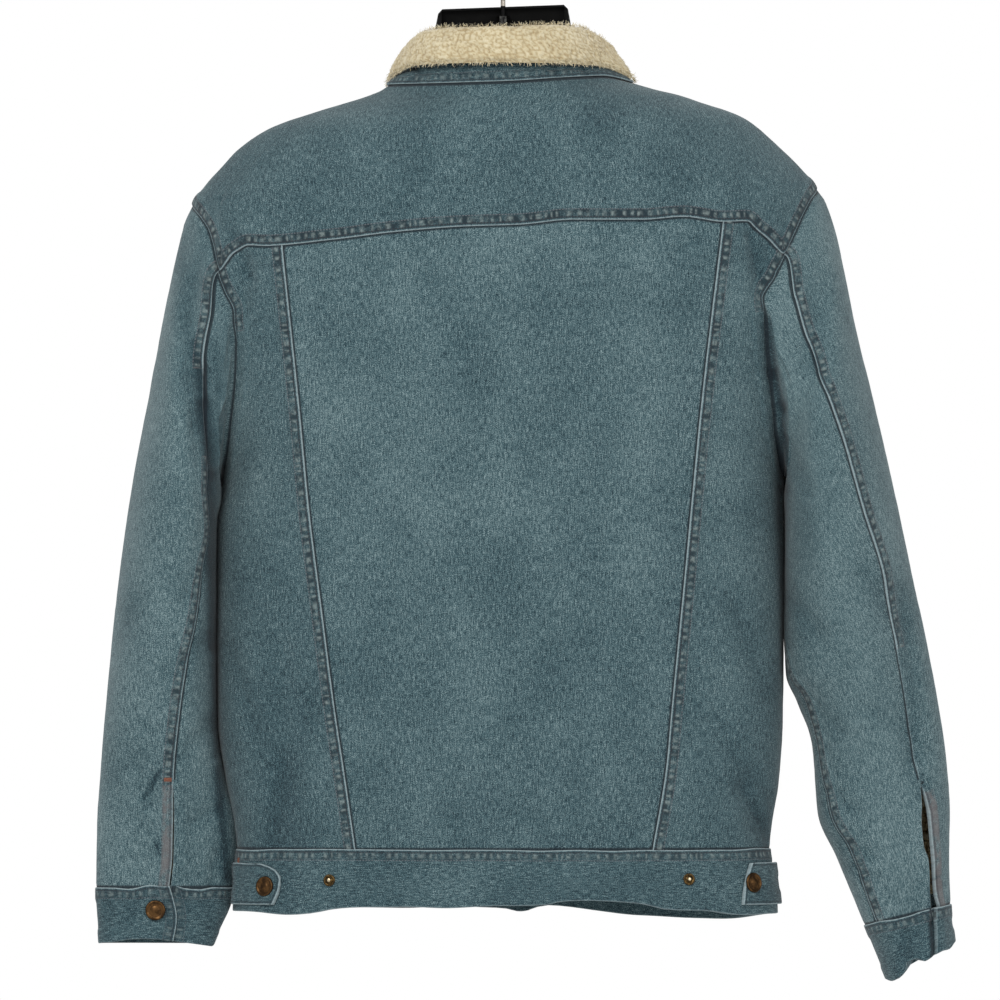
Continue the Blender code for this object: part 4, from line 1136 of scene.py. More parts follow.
# Painted shade along deep folds, under the arms and beside the vents and the right cuff's lap:
# x1, z1, x2, z2, how much darker, reach
PAINTED_SHADE = read_rows("""
253 -350 246 -400 2.4 4
246 -400 241 -458 3.6 4.5
240.5 -458 238.5 -600 4.5 4
238 -600 236.5 -690 3.0 3.5
235 -700 227 -790 3.6 4
-217 -335 -221 -375 2.4 3.5
-221 -375 -228 -402 2.8 3.5
-228 -402 -231.5 -470 3.0 4
-231.5 -470 -231.5 -620 2.6 3.5
282 -703 289 -713 2.8 2.6
291 -718 296 -725 2.4 2.4
285 -762 283 -770 2.4 2.4
-356 -786 -357 -798 4.5 3.2
-352 -800 -353.5 -853 4.0 2.4
""")
# Beside the body, under the arms
LEFT_ARMPIT_CREASES = read_rows("""
237 -352 233 -388 1.8 4.5
243 -400 239 -445 1.8 5
232 -388 240 -470 1.2 5
""")
RIGHT_ARMPIT_CREASES = read_rows("""
-217 -330 -221 -375 1.6 4.5
-221 -375 -228 -405 1.6 4.5
-228 -405 -231 -500 1.6 4.5
""")
SLEEVE_FRONT_CREASES = read_rows("""
300 -520 255 -560 2.4 8
305 -560 250 -590 2.2 8
300 -610 248 -625 1.8 8
-325 -520 -262 -560 2.4 8
-330 -570 -262 -600 2.2 8
-335 -620 -270 -640 1.8 8
250 -700 310 -715 1.5 7
-280 -700 -345 -715 1.5 7
""")

PLACKET_RAISED = 0.4  # how far the left placket lies over the fronts
TAB_STEP = 1.4  # spacing of the points on the waist tabs
FOLD_OVER = {"left": -340.0, "right": -323.0}  # below it the armhole seam lies in a fold
ELBOW_FOLD_HIDES = 0.66  # how much of the seam the fold hides
FACING_STRENGTH = 0.62  # the lap strength that stands for the vents' turned-in facing
ELBOW_FOLD = {"left": (-444, -370), "right": (-715, -600)}  # where the elbow seam lies in a fold


def patch_sheet(patch, step=4.0):
    """Points and normals over a patch of the body, evenly."""
    angle, level = patch.grid(even(12), even(12))
    points = body_point(angle, level)
    wide = np.linalg.norm(np.diff(points, axis=1), axis=-1).sum(axis=1).max()
    high = np.linalg.norm(np.diff(points, axis=0), axis=-1).sum(axis=0).max()
    angle, level = patch.grid(even(int(wide / step) + 1), even(int(high / step) + 1))
    return np.concatenate([body_point(angle, level), body_normal(angle, level)], axis=-1)


def body_cloth(name, patch, edges, raised=0.0, wall=BODY_WALL, seed=1, **more):
    sheet = patch_sheet(patch)
    sheet[..., :3] += raised * sheet[..., 3:]
    piece = Cloth(name, sheet, wall, edges, tone=TONES.get(name, 0.0), seed=seed, **more)
    piece.crease(BACK_CREASES + RIGHT_ARMPIT_CREASES, BACK_FOLDS, 1)
    piece.crease(FRONT_CREASES, FRONT_FOLDS, -1)
    piece.wash_and_shade -= LOWER_BACK_TONE * smooth_step((LOWER_BACK - piece.base[..., 2]) / LOWER_BACK_FADE)
    return piece


def flattened_below(level):
    """A lap whose worn edge and puckers fade out below a height."""
    return lambda z: 0.3 + 0.7 * passing(z, level, 8)


def front_lap(side):
    """The front laps the sleeve, but lies under the back at the side seam and under the yoke."""
    low = ARMPIT - 4
    high = FRONT_YOKE_AT_ARMHOLE[side] - 9
    return lambda z: passing(z, low, 4) * (1 - passing(z, high, 4))


def body_pieces():
    all_tucked = dict.fromkeys(("start", "end", "first", "last"), TUCKED)
    both_sides = {"start": TUCKED, "end": TUCKED, "first": STITCHED, "last": STITCHED}
    yoke = {"start": DARKER, "end": TUCKED, "first": STITCHED, "last": STITCHED}
    pieces = [
        body_cloth("back_yoke", yoke_patch(), yoke, seed=3),
        body_cloth("back_centre", centre_patch(), all_tucked, seed=5),
    ]
    for side in SIDES:
        outer, inner = ("last", "first") if side == "left" else ("first", "last")
        seed = len(side)
        fold = flattened_below(FOLD_OVER[side])
        edges = {"start": TUCKED, "end": TUCKED, inner: fold, outer: STITCHED}
        pieces.append(body_cloth("back_side_" + side, side_patch(side), edges, seed=7 + seed))
        edges = {"start": TUCKED, "end": TUCKED, outer: front_lap(side), inner: TUCKED}
        patch = front_patch(side)
        pieces.append(body_cloth("front_" + side, patch, edges, seed=17 + seed, step=FRONT_STEP))
    patch = placket_patch()
    pieces.append(
        body_cloth("placket_left", patch, both_sides, raised=PLACKET_RAISED, seed=31, step=FRONT_STEP)
    )
    return pieces


# Waves of the waistband's hem and of its seam: how high, how long and how far they reach into it
HEM_WAVE = 2.2
HEM_WAVE_SIZE = 42
HEM_FADE = 30.0
WAIST_WAVE = 0.9
WAIST_WAVE_SIZE = 30
WAIST_FADE = 14.0
# How far the hem of each waistband rises over its even run, along x
WAIST_HEMS = {
    "back": Table("x rise", read_rows("""
-227 -3.5
-195 -5.4
-162 -1
-134 0
-113 5
-80 9.5
-47 5.5
-35 3
2 4.8
60 3.3
101 2
138 0.3
159 -2.6
180 -3.5
200 -3
221 -2.5
""")),
    "front": Table("x rise", read_rows("""
-227 -3.5
-195 -6.5
-162 -4
-113 0
-80 5.5
-50 9
-35 10
-16 7
2 11
44 10.5
85 10
118 6.5
138 5
167 2
180 -1
221 -2.5
""")),
}


def waistband_pieces():
    """Three stretches, with hems and upper edges that run as unevenly as sewn ones."""
    left_seam = lambda level: side_angle("left", outer_turn("left", level, 1))
    right_seam = lambda level: side_angle("right", outer_turn("right", level, 1))
    left_again = lambda level: left_seam(level) + 360
    closing = lambda level: front_angle(-PLACKET_HALF, level)
    stretches = {
        "waistband_back": (left_seam, right_seam, {}),
        "waistband_right": (right_seam, closing, {}),
        "waistband_left": (closing, left_again, {"first": 0.35}),
    }
    pieces = []
    for name, (first, last, ends) in stretches.items():
        patch = Patch(first, last, at_level(HEM), at_level(WAIST_SEAM))
        edges = {"start": 0.44, "end": 0.74, **ends}
        piece = body_cloth(name, patch, edges, seed=40 + len(name), across=True)
        level = piece.base[..., 2]
        wave = HEM_WAVE * soft_noise(piece.base[..., :2], HEM_WAVE_SIZE, 9)
        rise = WAIST_HEMS["back" if name == "waistband_back" else "front"].read("rise", piece.base[..., 0])
        piece.shift[..., 2] += (wave + rise) * (1 - smooth_step((level - level[0]) / HEM_FADE))
        wave = WAIST_WAVE * soft_noise(piece.base[..., :2], WAIST_WAVE_SIZE, 19)
        piece.shift[..., 2] += wave * (1 - smooth_step((level[-1] - level) / WAIST_FADE))
        pieces.append(piece)
    return pieces


def tab_pieces():
    edges = dict.fromkeys(("start", "end", "first", "last"), FOLDED)
    raised = LAY_ON + TAB_WALL
    looks = {"across": True, "step": TAB_STEP}
    return [
        body_cloth(
            "waist_tab_" + side, tab_patch(side), edges, raised, TAB_WALL, seed=55 + len(side), **looks
        )
        for side in SIDES
    ]


# ---------------------------------------------------------------- sleeves and cuffs

CUFF_UNDERLAP = 14.0  # how many degrees the under end of a cuff reaches past the elbow seam
CUFF_OVERLAP = 5.0
CUFF_STEP_IN = 9.0  # over so many degrees the under end sinks below the outer one
CUFF_HEM_FADE = 16.0  # how far into the cuff its uneven hem and upper edge reach
CUFF_TOP_FADE = 12.0
CUFF_CREASES = read_rows("""
-351 -803 -354 -826 2.4 2.6
-353 -826 -354.5 -853 2.2 2.4
-331 -838 -333 -856 1.6 5
-331 -834 -341 -838 0.9 3
-362 -800 -370 -800 1.0 2
276 -812 279 -822 1.2 4
266 -805 256 -812 1.0 4
300 -805 306 -822 1.0 5
322 -806 326 -822 1.0 5
244 -806 240 -830 1.0 5
286 -838 276 -844 1.0 4
""")
# How far each piece stands back from the open end of the elbow seam, by row of the sleeve
VENTS = {
    "under_sleeve_left": Table("row open", [(10.1, 0), (10.4, 1.6), (12, 2.2)]),
    "top_sleeve_left": Table("row open", [(10.1, 0), (10.4, 0.5), (12, 0.7)]),
    "under_sleeve_right": Table("row open", read_rows("""
10.45 0
10.6 3
11.2 8.5
11.7 8.8
12 5.5
12.4 5
13 5
""")),
    "top_sleeve_right": Table("row open", [(10.45, 0), (10.7, 0.8), (12.3, 1), (12.75, 2.5), (13, 6)]),
}
# How far each cuff's ends are turned round the wrist, by row of the sleeve
CUFF_TURNS = {
    "left": Table("row turn", [(12, -5), (12.6, 5.5), (13, 8)]),
    "right": Table("row turn", [(13, -6), (13.5, -1), (14, 7)]),
}
# How far each cuff's upper edge stands over its ring, along x
CUFF_TOPS = {
    "left": Table("x rise", read_rows("""
226 0
237 0.3
250 -1.4
261 -0.6
272 2.4
276 1.4
291 2.2
307 -1.0
320 0
""")),
    "right": Table("x rise", read_rows("""
-372 0
-345 0.6
-335 -0.6
-323 -0.8
-310 0.8
-300 0
""")),
}
# How far each cuff's lower edge hangs below its ring, along x
CUFF_HEMS = {
    "left": Table("x drop", read_rows("""
240 2
250 0.5
270 -2
291 -4
306 -3.6
320 -1.5
333 0
""")),
    "right": Table("x drop", read_rows("""
-372 1
-368 3
-360 1
-353 1.6
-348 2
-344 -0.6
-339 -4.6
-332.5 -4.8
-330 3.2
-323 4.4
-316 2.5
-310 1
""")),
}


def trimmed(sheet, column, lengths):
    """The lines of a grid cut short at their first (0) or last (-1) end."""
    lines = []
    for line, length in zip(sheet, lengths):
        run = run_along(line[:, :3])
        places = run * (1 - length / run[-1]) + (length if column == 0 else 0)
        lines.append(resampled(line, run, places))
    return np.array(lines)


def sleeve_pieces(side):
    """The under sleeve, the top sleeve and the cuff."""
    rows = np.linspace(0, SLEEVES[side].knots[-1] - 1, SLEEVE_ROWS)
    grid, out = sleeve_grid(side, rows)
    rows = np.insert(rows, 0, 0.0)  # the line that lies under the body
    vent_row = VENTS["top_sleeve_" + side].knots[0]
    vent_top = float(np.interp(vent_row, rows, grid[:, ELBOW_COLUMN, 2]))
    low, high = ELBOW_FOLD[side]

    def hemmed(z):
        return WHOLE_LAP * (1 - passing(z, vent_top, 6))

    def lapping(z):
        folded = passing(z, low, 12) * (1 - passing(z, high, 12))
        open_end = 1 - passing(z, vent_top, 6)
        return 1 - ELBOW_FOLD_HIDES * folded - (1 - FACING_STRENGTH) * open_end

    round_again = LOOP_COLUMNS + ELBOW_COLUMN
    pieces = []
    for kind, first, last in (
        ("under_sleeve_", ELBOW_COLUMN, INSEAM_COLUMN),
        ("top_sleeve_", INSEAM_COLUMN, round_again),
    ):
        columns = np.arange(first, last + 1) % LOOP_COLUMNS
        sheet = np.concatenate([grid[:, columns], out[:, columns]], axis=-1)
        for column in (0, -1):
            if columns[column] == ELBOW_COLUMN:
                sheet = trimmed(sheet, column, VENTS[kind + side].read("open", rows))
        if kind == "top_sleeve_":
            edges = {"start": SET_IN, "end": TUCKED, "first": TUCKED, "last": lapping}
        else:
            edges = {"start": SET_IN, "end": TUCKED, "first": hemmed, "last": STITCHED}
        name = kind + side
        piece = Cloth(name, sheet, SLEEVE_WALL, edges, tone=TONES[name], seed=60 + len(name) + len(kind))
        armpits = LEFT_ARMPIT_CREASES + RIGHT_ARMPIT_CREASES
        piece.crease(SLEEVE_BACK_CREASES + armpits, BACK_FOLDS, 1)
        piece.crease(SLEEVE_FRONT_CREASES, FRONT_FOLDS, -1)
        pieces.append(piece)
    pieces.append(cuff_piece(side))
    return pieces


def cuff_piece(side):
    """A band once round the wrist, its under end tucked inside its outer end."""
    last = SLEEVES[side].knots[-1]
    elbow = float(SLEEVES[side].read("elbow", last - 1))
    angles = np.linspace(elbow - CUFF_UNDERLAP, 360 + elbow + CUFF_OVERLAP, 160)
    rows = np.insert(np.linspace(last - 1, last, 20), 0, last - 1 - SEAM_LOOK)
    turns = angles[None, :] + CUFF_TURNS[side].read("turn", rows)[:, None]
    ring = plain_sleeve(side, rows[:, None], turns)
    normal = unit(np.cross(np.gradient(ring, axis=1), np.gradient(ring, axis=0)))
    normal = facing_out(normal, ring - ring.mean(axis=1, keepdims=True))
    ring = ring[1:]
    normal = normal[1:]
    past = (angles - (elbow + CUFF_OVERLAP)) / CUFF_STEP_IN
    tucked = (CUFF_WALL + SEAM_GAP) * (1 - smooth_step(past))
    ring = ring - normal * tucked[None, :, None]
    sheet = np.concatenate([ring, normal], axis=-1)
    edges = {"start": 0.7, "end": 0.3, "last": 1.4 if side == "left" else 0.4}
    name = "cuff_" + side
    piece = Cloth(name, sheet, CUFF_WALL, edges, tone=TONES[name], seed=80 + len(side), across=True)
    piece.crease(CUFF_CREASES, [], 1)
    drop = CUFF_HEMS[side].read("drop", piece.base[..., 0])
    drop *= 1 - smooth_step(measured(piece.base, piece.base[-1])[0] / CUFF_HEM_FADE)
    rise = CUFF_TOPS[side].read("rise", piece.base[..., 0])
    rise *= 1 - smooth_step(measured(piece.base, piece.base[0])[0] / CUFF_TOP_FADE)
    piece.shift[..., 2] += (rise - drop) * smooth_step(2 * piece.normal[..., 1])
    return piece


# ---------------------------------------------------------------- collar

# turn: degrees round the neck from the centre back, to each side. rise, lean: the roll's height over the
# neck seam and how far out it stands. edge, reach: the same for the fall's free edge.
COLLAR_COLUMNS = "turn rise lean edge reach"
COLLAR = {
    "left": Table(COLLAR_COLUMNS, read_rows("""
0 39.5 -6 16 5
30 40 -9 16 4
50 38.5 -15 15 -1
75 28 -20 9 -8
90 23 -20 5 -7
110 20 -15 3 2
130 20 -8 -1 12
150 20 0 -19 23
175 20 3 -42 28
""")),
    "right": Table(COLLAR_COLUMNS, read_rows("""
0 39.5 -6 16 5
30 38 -10 12 2
50 34.5 -17 9 -3
75 26.5 -23 5 -6
90 22.5 -23 2 -5
110 20 -18 1 2
130 20 -9 -3 12
150 20 0 -19 23
175 20 3 -42 28
""")),
}


ROLL_RADIUS = 3.0
ROLL_STEPS = 10
STAND_STEPS = 14
FALL_STEPS = 18
FALL_BULGE = 8.0  # how far the fall curves out between the roll and its free edge
GRANULE = 3.9  # spacing of the sherpa's tufts
GRANULE_HEIGHT = 1.7
DOME_REACH = 0.85 * GRANULE
DOME_MEAN = 0.75
CREVICE = 1.3  # how wide the painted shade in the gaps between the tufts is
THIN_ENDS = 4.0  # how far from its edges the sherpa thins out, and by how much
THINNER = 1.6
PILE_ROOM = 1.5  # how much lower the cloth lies than the solid, under the standing pile
NECK_ENDS = (-10.5, 10.5)  # x where the collar starts and ends at the front
FALL_PAINTED_SHADOW = 3.0  # painted shadow: the stand is darker close under the fall
STAND_CREASES = read_rows("""
76 -119 66 -130 1.8 2.4
40 -120 35 -131 1.5 2.0
28 -121 35 -131 1.2 2.0
12 -122 6 -134 0.9 3.0
-40 -121 -44 -132 0.9 3.0
-62 -121 -68 -130 1.3 2.4
""")


def collar_path(turn):
    """The inside of the folded collar at one turn, as offsets out from and up over the neck seam."""
    table = COLLAR["left" if turn < 0 else "right"]
    rise, lean, edge, reach = (float(table.read(name, abs(turn))) for name in COLLAR_COLUMNS.split()[1:])
    roll_foot = rise - ROLL_RADIUS
    path = []
    for share in np.linspace(0, 1, STAND_STEPS)[:-1]:
        out = 1.2 * lean * share
        out = min(out, lean) if lean > 0 else max(out, lean)
        path.append((out, SEAM_GAP + (roll_foot - SEAM_GAP) * share))
    for step in range(ROLL_STEPS + 1):
        swing = math.pi * (1 - step / ROLL_STEPS)
        out = lean + ROLL_RADIUS + ROLL_RADIUS * math.cos(swing)
        path.append((out, roll_foot + ROLL_RADIUS * math.sin(swing)))
    out, up = path[-1]
    for share in np.linspace(0, 1, FALL_STEPS)[1:]:
        bulge = FALL_BULGE * share * (1 - share)
        path.append((out + (reach - out) * share + bulge, up + (edge - up) * share))
    return np.array(path)


def neck_line():
    """Turns, points and outward directions along the neck seam, from the left front round the back."""
    start = float(front_angle(NECK_ENDS[1], FRONT_NECK)) - 360
    end = float(front_angle(NECK_ENDS[0], FRONT_NECK))
    angles = np.linspace(start, end, NECK_COLUMNS)
    neck = body_point(angles, NECK_SEAM.read("level", angles))
    along = np.gradient(neck, axis=0) * (1, 1, 0)
    return angles - 90, neck, unit(np.cross(along, (0, 0, 1)))


def collar_sheet(distance):
    """Points and outward normals of a layer at a distance from the inside of the collar's fold."""
    turns, neck, out = neck_line()
    sheet = []
    for k, turn in enumerate(turns):
        path = collar_path(turn)
        run = unit(np.gradient(path, axis=0))
        aside = np.stack([-run[:, 1], run[:, 0]], axis=-1)
        aside[0] = (-1, 0)
        offsets = path + distance * aside
        points = neck[k] + offsets[:, :1] * out[k] + offsets[:, 1:] * (0, 0, 1)
        normals = aside[:, :1] * out[k] + aside[:, 1:] * (0, 0, 1)
        sheet.append(np.concatenate([points, normals], axis=-1))
    return np.array(sheet)


def jittered(cells, seed):
    """One random place in each square cell, as shares of the cell."""
    table = np.random.default_rng(seed).uniform(0.02, 0.98, (RANDOM_VALUES, 3))
    return table[cell_key(cells)]


def granules(places, size, seed):
    """Distances to the nearest and second nearest tuft, and the nearest tuft's own number."""
    cell = np.floor(places / size).astype(np.int64)
    nearest = np.full(places.shape[:-1], 9.0 * size)
    second = nearest.copy()
    number = np.zeros_like(nearest)
    for corner in np.ndindex(3, 3):
        near = cell + np.array(corner) - 1
        random = jittered(near, seed)
        apart = np.linalg.norm(places - (near + random[..., :2]) * size, axis=-1)
        second = np.minimum(second, np.maximum(nearest, apart))
        number = np.where(apart < nearest, random[..., 2], number)
        nearest = np.minimum(nearest, apart)
    return nearest, second, number


def collar_pieces():
    """The denim stand and under collar, and the sherpa over it."""
    denim = collar_sheet(0.0)
    denim[..., 3:] *= -1
    looks = {"tone": TONES["collar_under"], "across": True, "step": 1.6, "seed": 91}
    under = Cloth("collar_under", denim.swapaxes(0, 1), DENIM, {"start": 0.72, "end": 0.3}, **looks)
    under.shift *= 0.3
    under.crease(STAND_CREASES, [], 1)
    sheet = sherpa_sheet()
    edge = sheet[:, -1, :3]
    edge = edge[edge[:, 1] > 0]
    edge = edge[np.argsort(edge[:, 0])]
    # painted shadow of the fall on the stand, darkest just under its edge
    above = under.base[..., 2] - np.interp(under.base[..., 0], edge[:, 0], edge[:, 2])
    under.wash_and_shade -= FALL_PAINTED_SHADOW * smooth_step((above + 4.5) / 5)
    return under, sheet


def sherpa_sheet():
    sheet = collar_sheet(DENIM + SEAM_GAP + SHERPA)
    sheet = respaced(sheet, PLAIN_MARKS, PLAIN_MARKS, SHERPA_STEP)
    return respaced(sheet.swapaxes(0, 1), PLAIN_MARKS, PLAIN_MARKS, SHERPA_STEP).swapaxes(0, 1)


def warped(places):
    """The places pushed about, so that the tufts don't stand in rows."""
    push = np.stack([soft_noise(places, 6.5, 31), soft_noise(places, 6.5, 32)], axis=-1)
    fine = np.stack([soft_noise(places, 2.6, 33), soft_noise(places, 2.6, 34)], axis=-1)
    return places + 1.6 * push + 0.6 * fine


def sherpa_places(sheet):
    """Where each point lies on the sherpa if it were flat."""
    rows = run_across(sheet[..., :3], 0).mean(axis=1)
    columns = run_across(sheet[..., :3], 1).mean(axis=0)
    across, along = np.meshgrid(columns, rows)
    return np.stack([across, along], axis=-1)


def dome(distance):
    """How high a tuft stands at a distance from its middle, over its mean height."""
    return np.sqrt(np.clip(1 - (distance / DOME_REACH) ** 2, 0, 1)) - DOME_MEAN


def build_sherpa(sheet):
    """The top collar, with a dome for each tuft and lower ends."""
    places = sherpa_places(sheet)
    nearest, second, number = granules(warped(places), GRANULE, 5)
    normal = unit(sheet[..., 3:])
    lumps = 0.6 * soft_noise(places, 17, 6) + 0.4 * soft_noise(places, 2.1, 7)
    height = GRANULE_HEIGHT * dome(nearest) + lumps - PILE_ROOM
    ends = np.minimum(places - places[0, 0], places[-1, -1] - places).min(axis=-1)
    height -= THINNER * (1 - smooth_step(ends / THIN_ENDS))
    outer = sheet[..., :3] + height[..., None] * normal
    inner = sheet[..., :3] - (SHERPA - 0.1) * normal
    # the first value marks where shade is painted between the tufts
    tuft = np.stack([smooth_step((second - nearest) / CREVICE), number, 0 * number], axis=-1)
    item = shell("collar_sherpa_cloth", outer, inner, {"tuft": tuft}, ("sherpa", "sherpa"))
    return handed_in(item, "collar_sherpa")


# ---------------------------------------------------------------- pile

SWIRL = 0.62 * math.pi  # how far a curl turns from the way out of its tuft
STRAND_WIDTH = 0.34
LOCK_WIDTH = 0.5
TIP_WIDTH = 0.35  # a strand's width at its tip, as a share of its width at the root


def strands(name, centres, directions, lengths, width, seed):
    """Short flat curls as one mesh: each is a strip of three quads along a bent line."""
    random = np.random.default_rng(seed)
    count = len(centres)
    steps = np.linspace(0, 1, 4)
    side = unit(np.cross(directions, random.normal(size=(count, 3))))
    bend = unit(np.cross(directions, side))
    curl = random.uniform(0.25, 0.8, (count, 1))
    points = []
    for step in steps:
        middle = centres + lengths * (step * directions + curl * step * step * bend)
        half = 0.5 * width * (1 - (1 - TIP_WIDTH) * step) * side
        points += [middle - half, middle + half]
    points = np.stack(points, axis=1).reshape(-1, 3)
    corners = 2 * len(steps)
    quad = np.array([[0, 1, 3, 2], [2, 3, 5, 4], [4, 5, 7, 6]])
    faces = (corners * np.arange(count)[:, None, None] + quad).reshape(-1, 4).tolist()
    item = mesh_item(name, points, faces, ("pile",))
    tip = np.tile(np.repeat(steps, 2), count)
    tint = np.repeat(random.uniform(0, 1, count), corners)
    add_attribute(item, "strand", np.stack([tip, tint, 0 * tip], axis=-1))
    return handed_in(item)


def on_sheet(sheet, rows, columns):
    """Points and normals at fractional rows and columns of a grid."""
    low_row = np.clip(np.floor(rows).astype(int), 0, sheet.shape[0] - 2)
    low_column = np.clip(np.floor(columns).astype(int), 0, sheet.shape[1] - 2)
    r = (rows - low_row)[:, None]
    c = (columns - low_column)[:, None]
    lines = [
        sheet[row, low_column] * (1 - c) + sheet[row, low_column + 1] * c for row in (low_row, low_row + 1)
    ]
    mixed = lines[0] * (1 - r) + lines[1] * r
    return mixed[:, :3], unit(mixed[:, 3:])


def build_pile(sheet):
    """Curls that swirl round each tuft, and longer locks along both free edges."""
    random = np.random.default_rng(12)
    places = sherpa_places(sheet)
    across = places[0, :, 0]
    along = places[:, 0, 1]
    low = np.floor(places[0, 0] / GRANULE).astype(int)
    high = np.floor(places[-1, -1] / GRANULE).astype(int) + 1
    cells = np.stack(np.meshgrid(np.arange(low[0], high[0]), np.arange(low[1], high[1])), axis=-1)
    cells = cells.reshape(-1, 2)
    spots = (cells + jittered(cells, 5)[:, :2]) * GRANULE
    spots = np.repeat(spots, STRANDS_PER_TUFT, axis=0)
    swing = random.uniform(0, 2 * math.pi, len(spots))
    away = np.sqrt(random.uniform(0.02, 1.0, len(spots))) * 0.55 * GRANULE
    spots = spots + away[:, None] * np.stack([np.cos(swing), np.sin(swing)], axis=-1)
    inside = np.all((spots > places[0, 0] + 0.5) & (spots < places[-1, -1] - 0.5), axis=-1)
    spots = spots[inside]
    swing = swing[inside]
    away = away[inside]
    rows = np.interp(spots[:, 1], along, np.arange(len(along)))
    columns = np.interp(spots[:, 0], across, np.arange(len(across)))
    points, normals = on_sheet(sheet, rows, columns)
    ahead, _ = on_sheet(sheet, rows, columns + 0.5)
    right = unit(ahead - points)
    up = unit(np.cross(normals, right))
    turn = swing + SWIRL
    swirl = np.cos(turn)[:, None] * right + np.sin(turn)[:, None] * up
    lift = random.uniform(0.15, 0.75, (len(points), 1))
    directions = unit(swirl + lift * normals)
    roots = points + (GRANULE_HEIGHT * dome(away) - 0.1 - PILE_ROOM)[:, None] * normals
    lengths = random.uniform(1.0, 1.9, (len(points), 1))
    half = len(points) // 2
    made = []
    for side, part, seed in (("left", slice(half), 21), ("right", slice(half, None), 22)):
        name = "collar_pile_" + side
        made.append(strands(name, roots[part], directions[part], lengths[part], STRAND_WIDTH, seed))
    return made + [edge_locks(sheet, random)]


def edge_locks(sheet, random):
    """Locks that stick out past the sherpa's free edge and its upper fold."""
    columns = sheet.shape[1]
    roll = int(np.argmax(sheet[sheet.shape[0] // 2, :, 2]))
    chosen = random.uniform(0, 1, EDGE_LOCKS) < 0.5
    at = np.where(chosen, columns - 1.5, roll) + random.normal(0, 1.6, EDGE_LOCKS)
    at = np.clip(at, 0, columns - 1.01)
    rows = random.uniform(0, sheet.shape[0] - 1.01, EDGE_LOCKS)
    points, normals = on_sheet(sheet, rows, at)
    past, _ = on_sheet(sheet, rows, np.clip(at - 1, 0, None))
    over = unit(points - past)
    lean = np.where(chosen, 1.0, 0.1)[:, None]
    spread = random.normal(0, 0.45, (EDGE_LOCKS, 3))
    directions = unit(lean * over + 0.8 * normals + spread)
    lengths = random.uniform(1.8, 3.6, (EDGE_LOCKS, 1))
    return strands("collar_edge_locks", points - 0.6 * normals, directions, lengths, LOCK_WIDTH, 23)


# ---------------------------------------------------------------- metal, plastic and thread

LATHE_SIDES = 48
# radius and height over the cloth, from the rim's foot to the middle
BUTTON_PROFILE = read_rows("""
7.4 0.0
8.1 0.5
8.35 1.3
8.0 2.1
7.3 2.5
6.7 2.35
6.3 1.9
5.2 1.8
4.6 2.05
4.2 1.85
3.2 2.2
2.0 2.55
0.7 2.7
""")
STUD_PROFILE = read_rows("""
4.4 0.0
4.9 0.4
4.9 0.9
4.3 1.4
3.5 1.3
3.0 0.9
2.5 1.1
2.1 1.7
1.3 2.1
0.4 2.2
""")
STUD_CENTRE = 8  # the row of the profile from which the stud is bright
WAIST_BUTTONS = {"left": (194.5, -797.0), "right": (-203.5, -794.0)}  # x and level
WAIST_STUDS = {"left": (142.5, -791.3), "right": (-152.5, -790.5)}
CUFF_BUTTON_SHARE = 0.38  # how far down the cuff
CUFF_BUTTON_TURN = {"left": -7.5, "right": -92.0}  # degrees from the elbow seam
TOP_BUTTON = -160.0
LAST_PLACKET_BUTTON = -712.0
FRONT_BUTTONS = 6
FRONT_BUTTON_X = -2.0

HOOK_RADIUS = 26.0
HOOK_STEPS = 70
HOOK_START = -62.0  # where the bend starts and how far it turns, in degrees
HOOK_TURN = 252.0
HOOK_STRAIGHT_BY = 20  # the step of the bend by which it lies in the middle plane
WIRE_SIDES = 24
SHAFT_Y = 3.4
SHAFT_RADIUS = 2.0
PLATE_TOP = -72.0  # below it the wire takes the hanger's black plastic material
SHAFT_LEVELS = (-93, -76, PLATE_TOP, -64)

# Bartacks: the threads, and the points along and round half of each
THREADS = 7
THREAD_ROWS = 5
THREAD_SIDES = 4


def ringed(rings, sides):
    """The faces of a tube of rings with both ends closed."""
    index = np.arange(rings * sides).reshape(rings, sides)
    index = np.concatenate([index, index[:, :1]], axis=1)
    faces = quads(index)
    faces.append(index[0, :-1][::-1].tolist())
    faces.append(index[-1, :-1].tolist())
    return faces


def turned(node, profile, place, normal, materials=("copper",), centre=None):
    """A turned piece on the cloth. centre: the profile's row where a second material starts."""
    across = unit(np.cross(normal, (0, 0, 1)))
    up = np.cross(across, normal)
    swing = np.linspace(0, 2 * math.pi, LATHE_SIDES, endpoint=False)[:, None]
    spokes = np.cos(swing) * across - np.sin(swing) * up
    rings = [place + radius * spokes + (LAY_ON + height) * normal for radius, height in profile]
    points = np.concatenate(rings)
    faces = ringed(len(profile), LATHE_SIDES)
    layer = np.zeros(len(faces), int)
    if centre is not None:
        layer[centre * LATHE_SIDES : (len(profile) - 1) * LATHE_SIDES] = 1
        layer[-1] = 1  # the closed end in the middle
    handed_in(mesh_item(node + "_turned", points, faces, materials, layer), node)


def turned_on_body(node, profile, x, level, raised=0.0, **more):
    angle = back_angle(x, level) if "front" not in node else front_angle(x, level)
    normal = body_normal(angle, level)
    turned(node, profile, body_point(angle, level) + raised * normal, normal, **more)


def cuff_button(side):
    last = SLEEVES[side].knots[-1]
    row = last - 1 + CUFF_BUTTON_SHARE
    angle = float(SLEEVES[side].read("elbow", row)) + CUFF_BUTTON_TURN[side]
    place = plain_sleeve(side, row, angle)
    opposite = plain_sleeve(side, row, angle + 180)
    round_ = plain_sleeve(side, row, angle + 1) - plain_sleeve(side, row, angle - 1)
    ahead = plain_sleeve(side, row + 0.1, angle) - plain_sleeve(side, row - 0.1, angle)
    normal = facing_out(unit(np.cross(round_, ahead)), place - opposite)
    turned("cuff_button_" + side, BUTTON_PROFILE, place, normal)


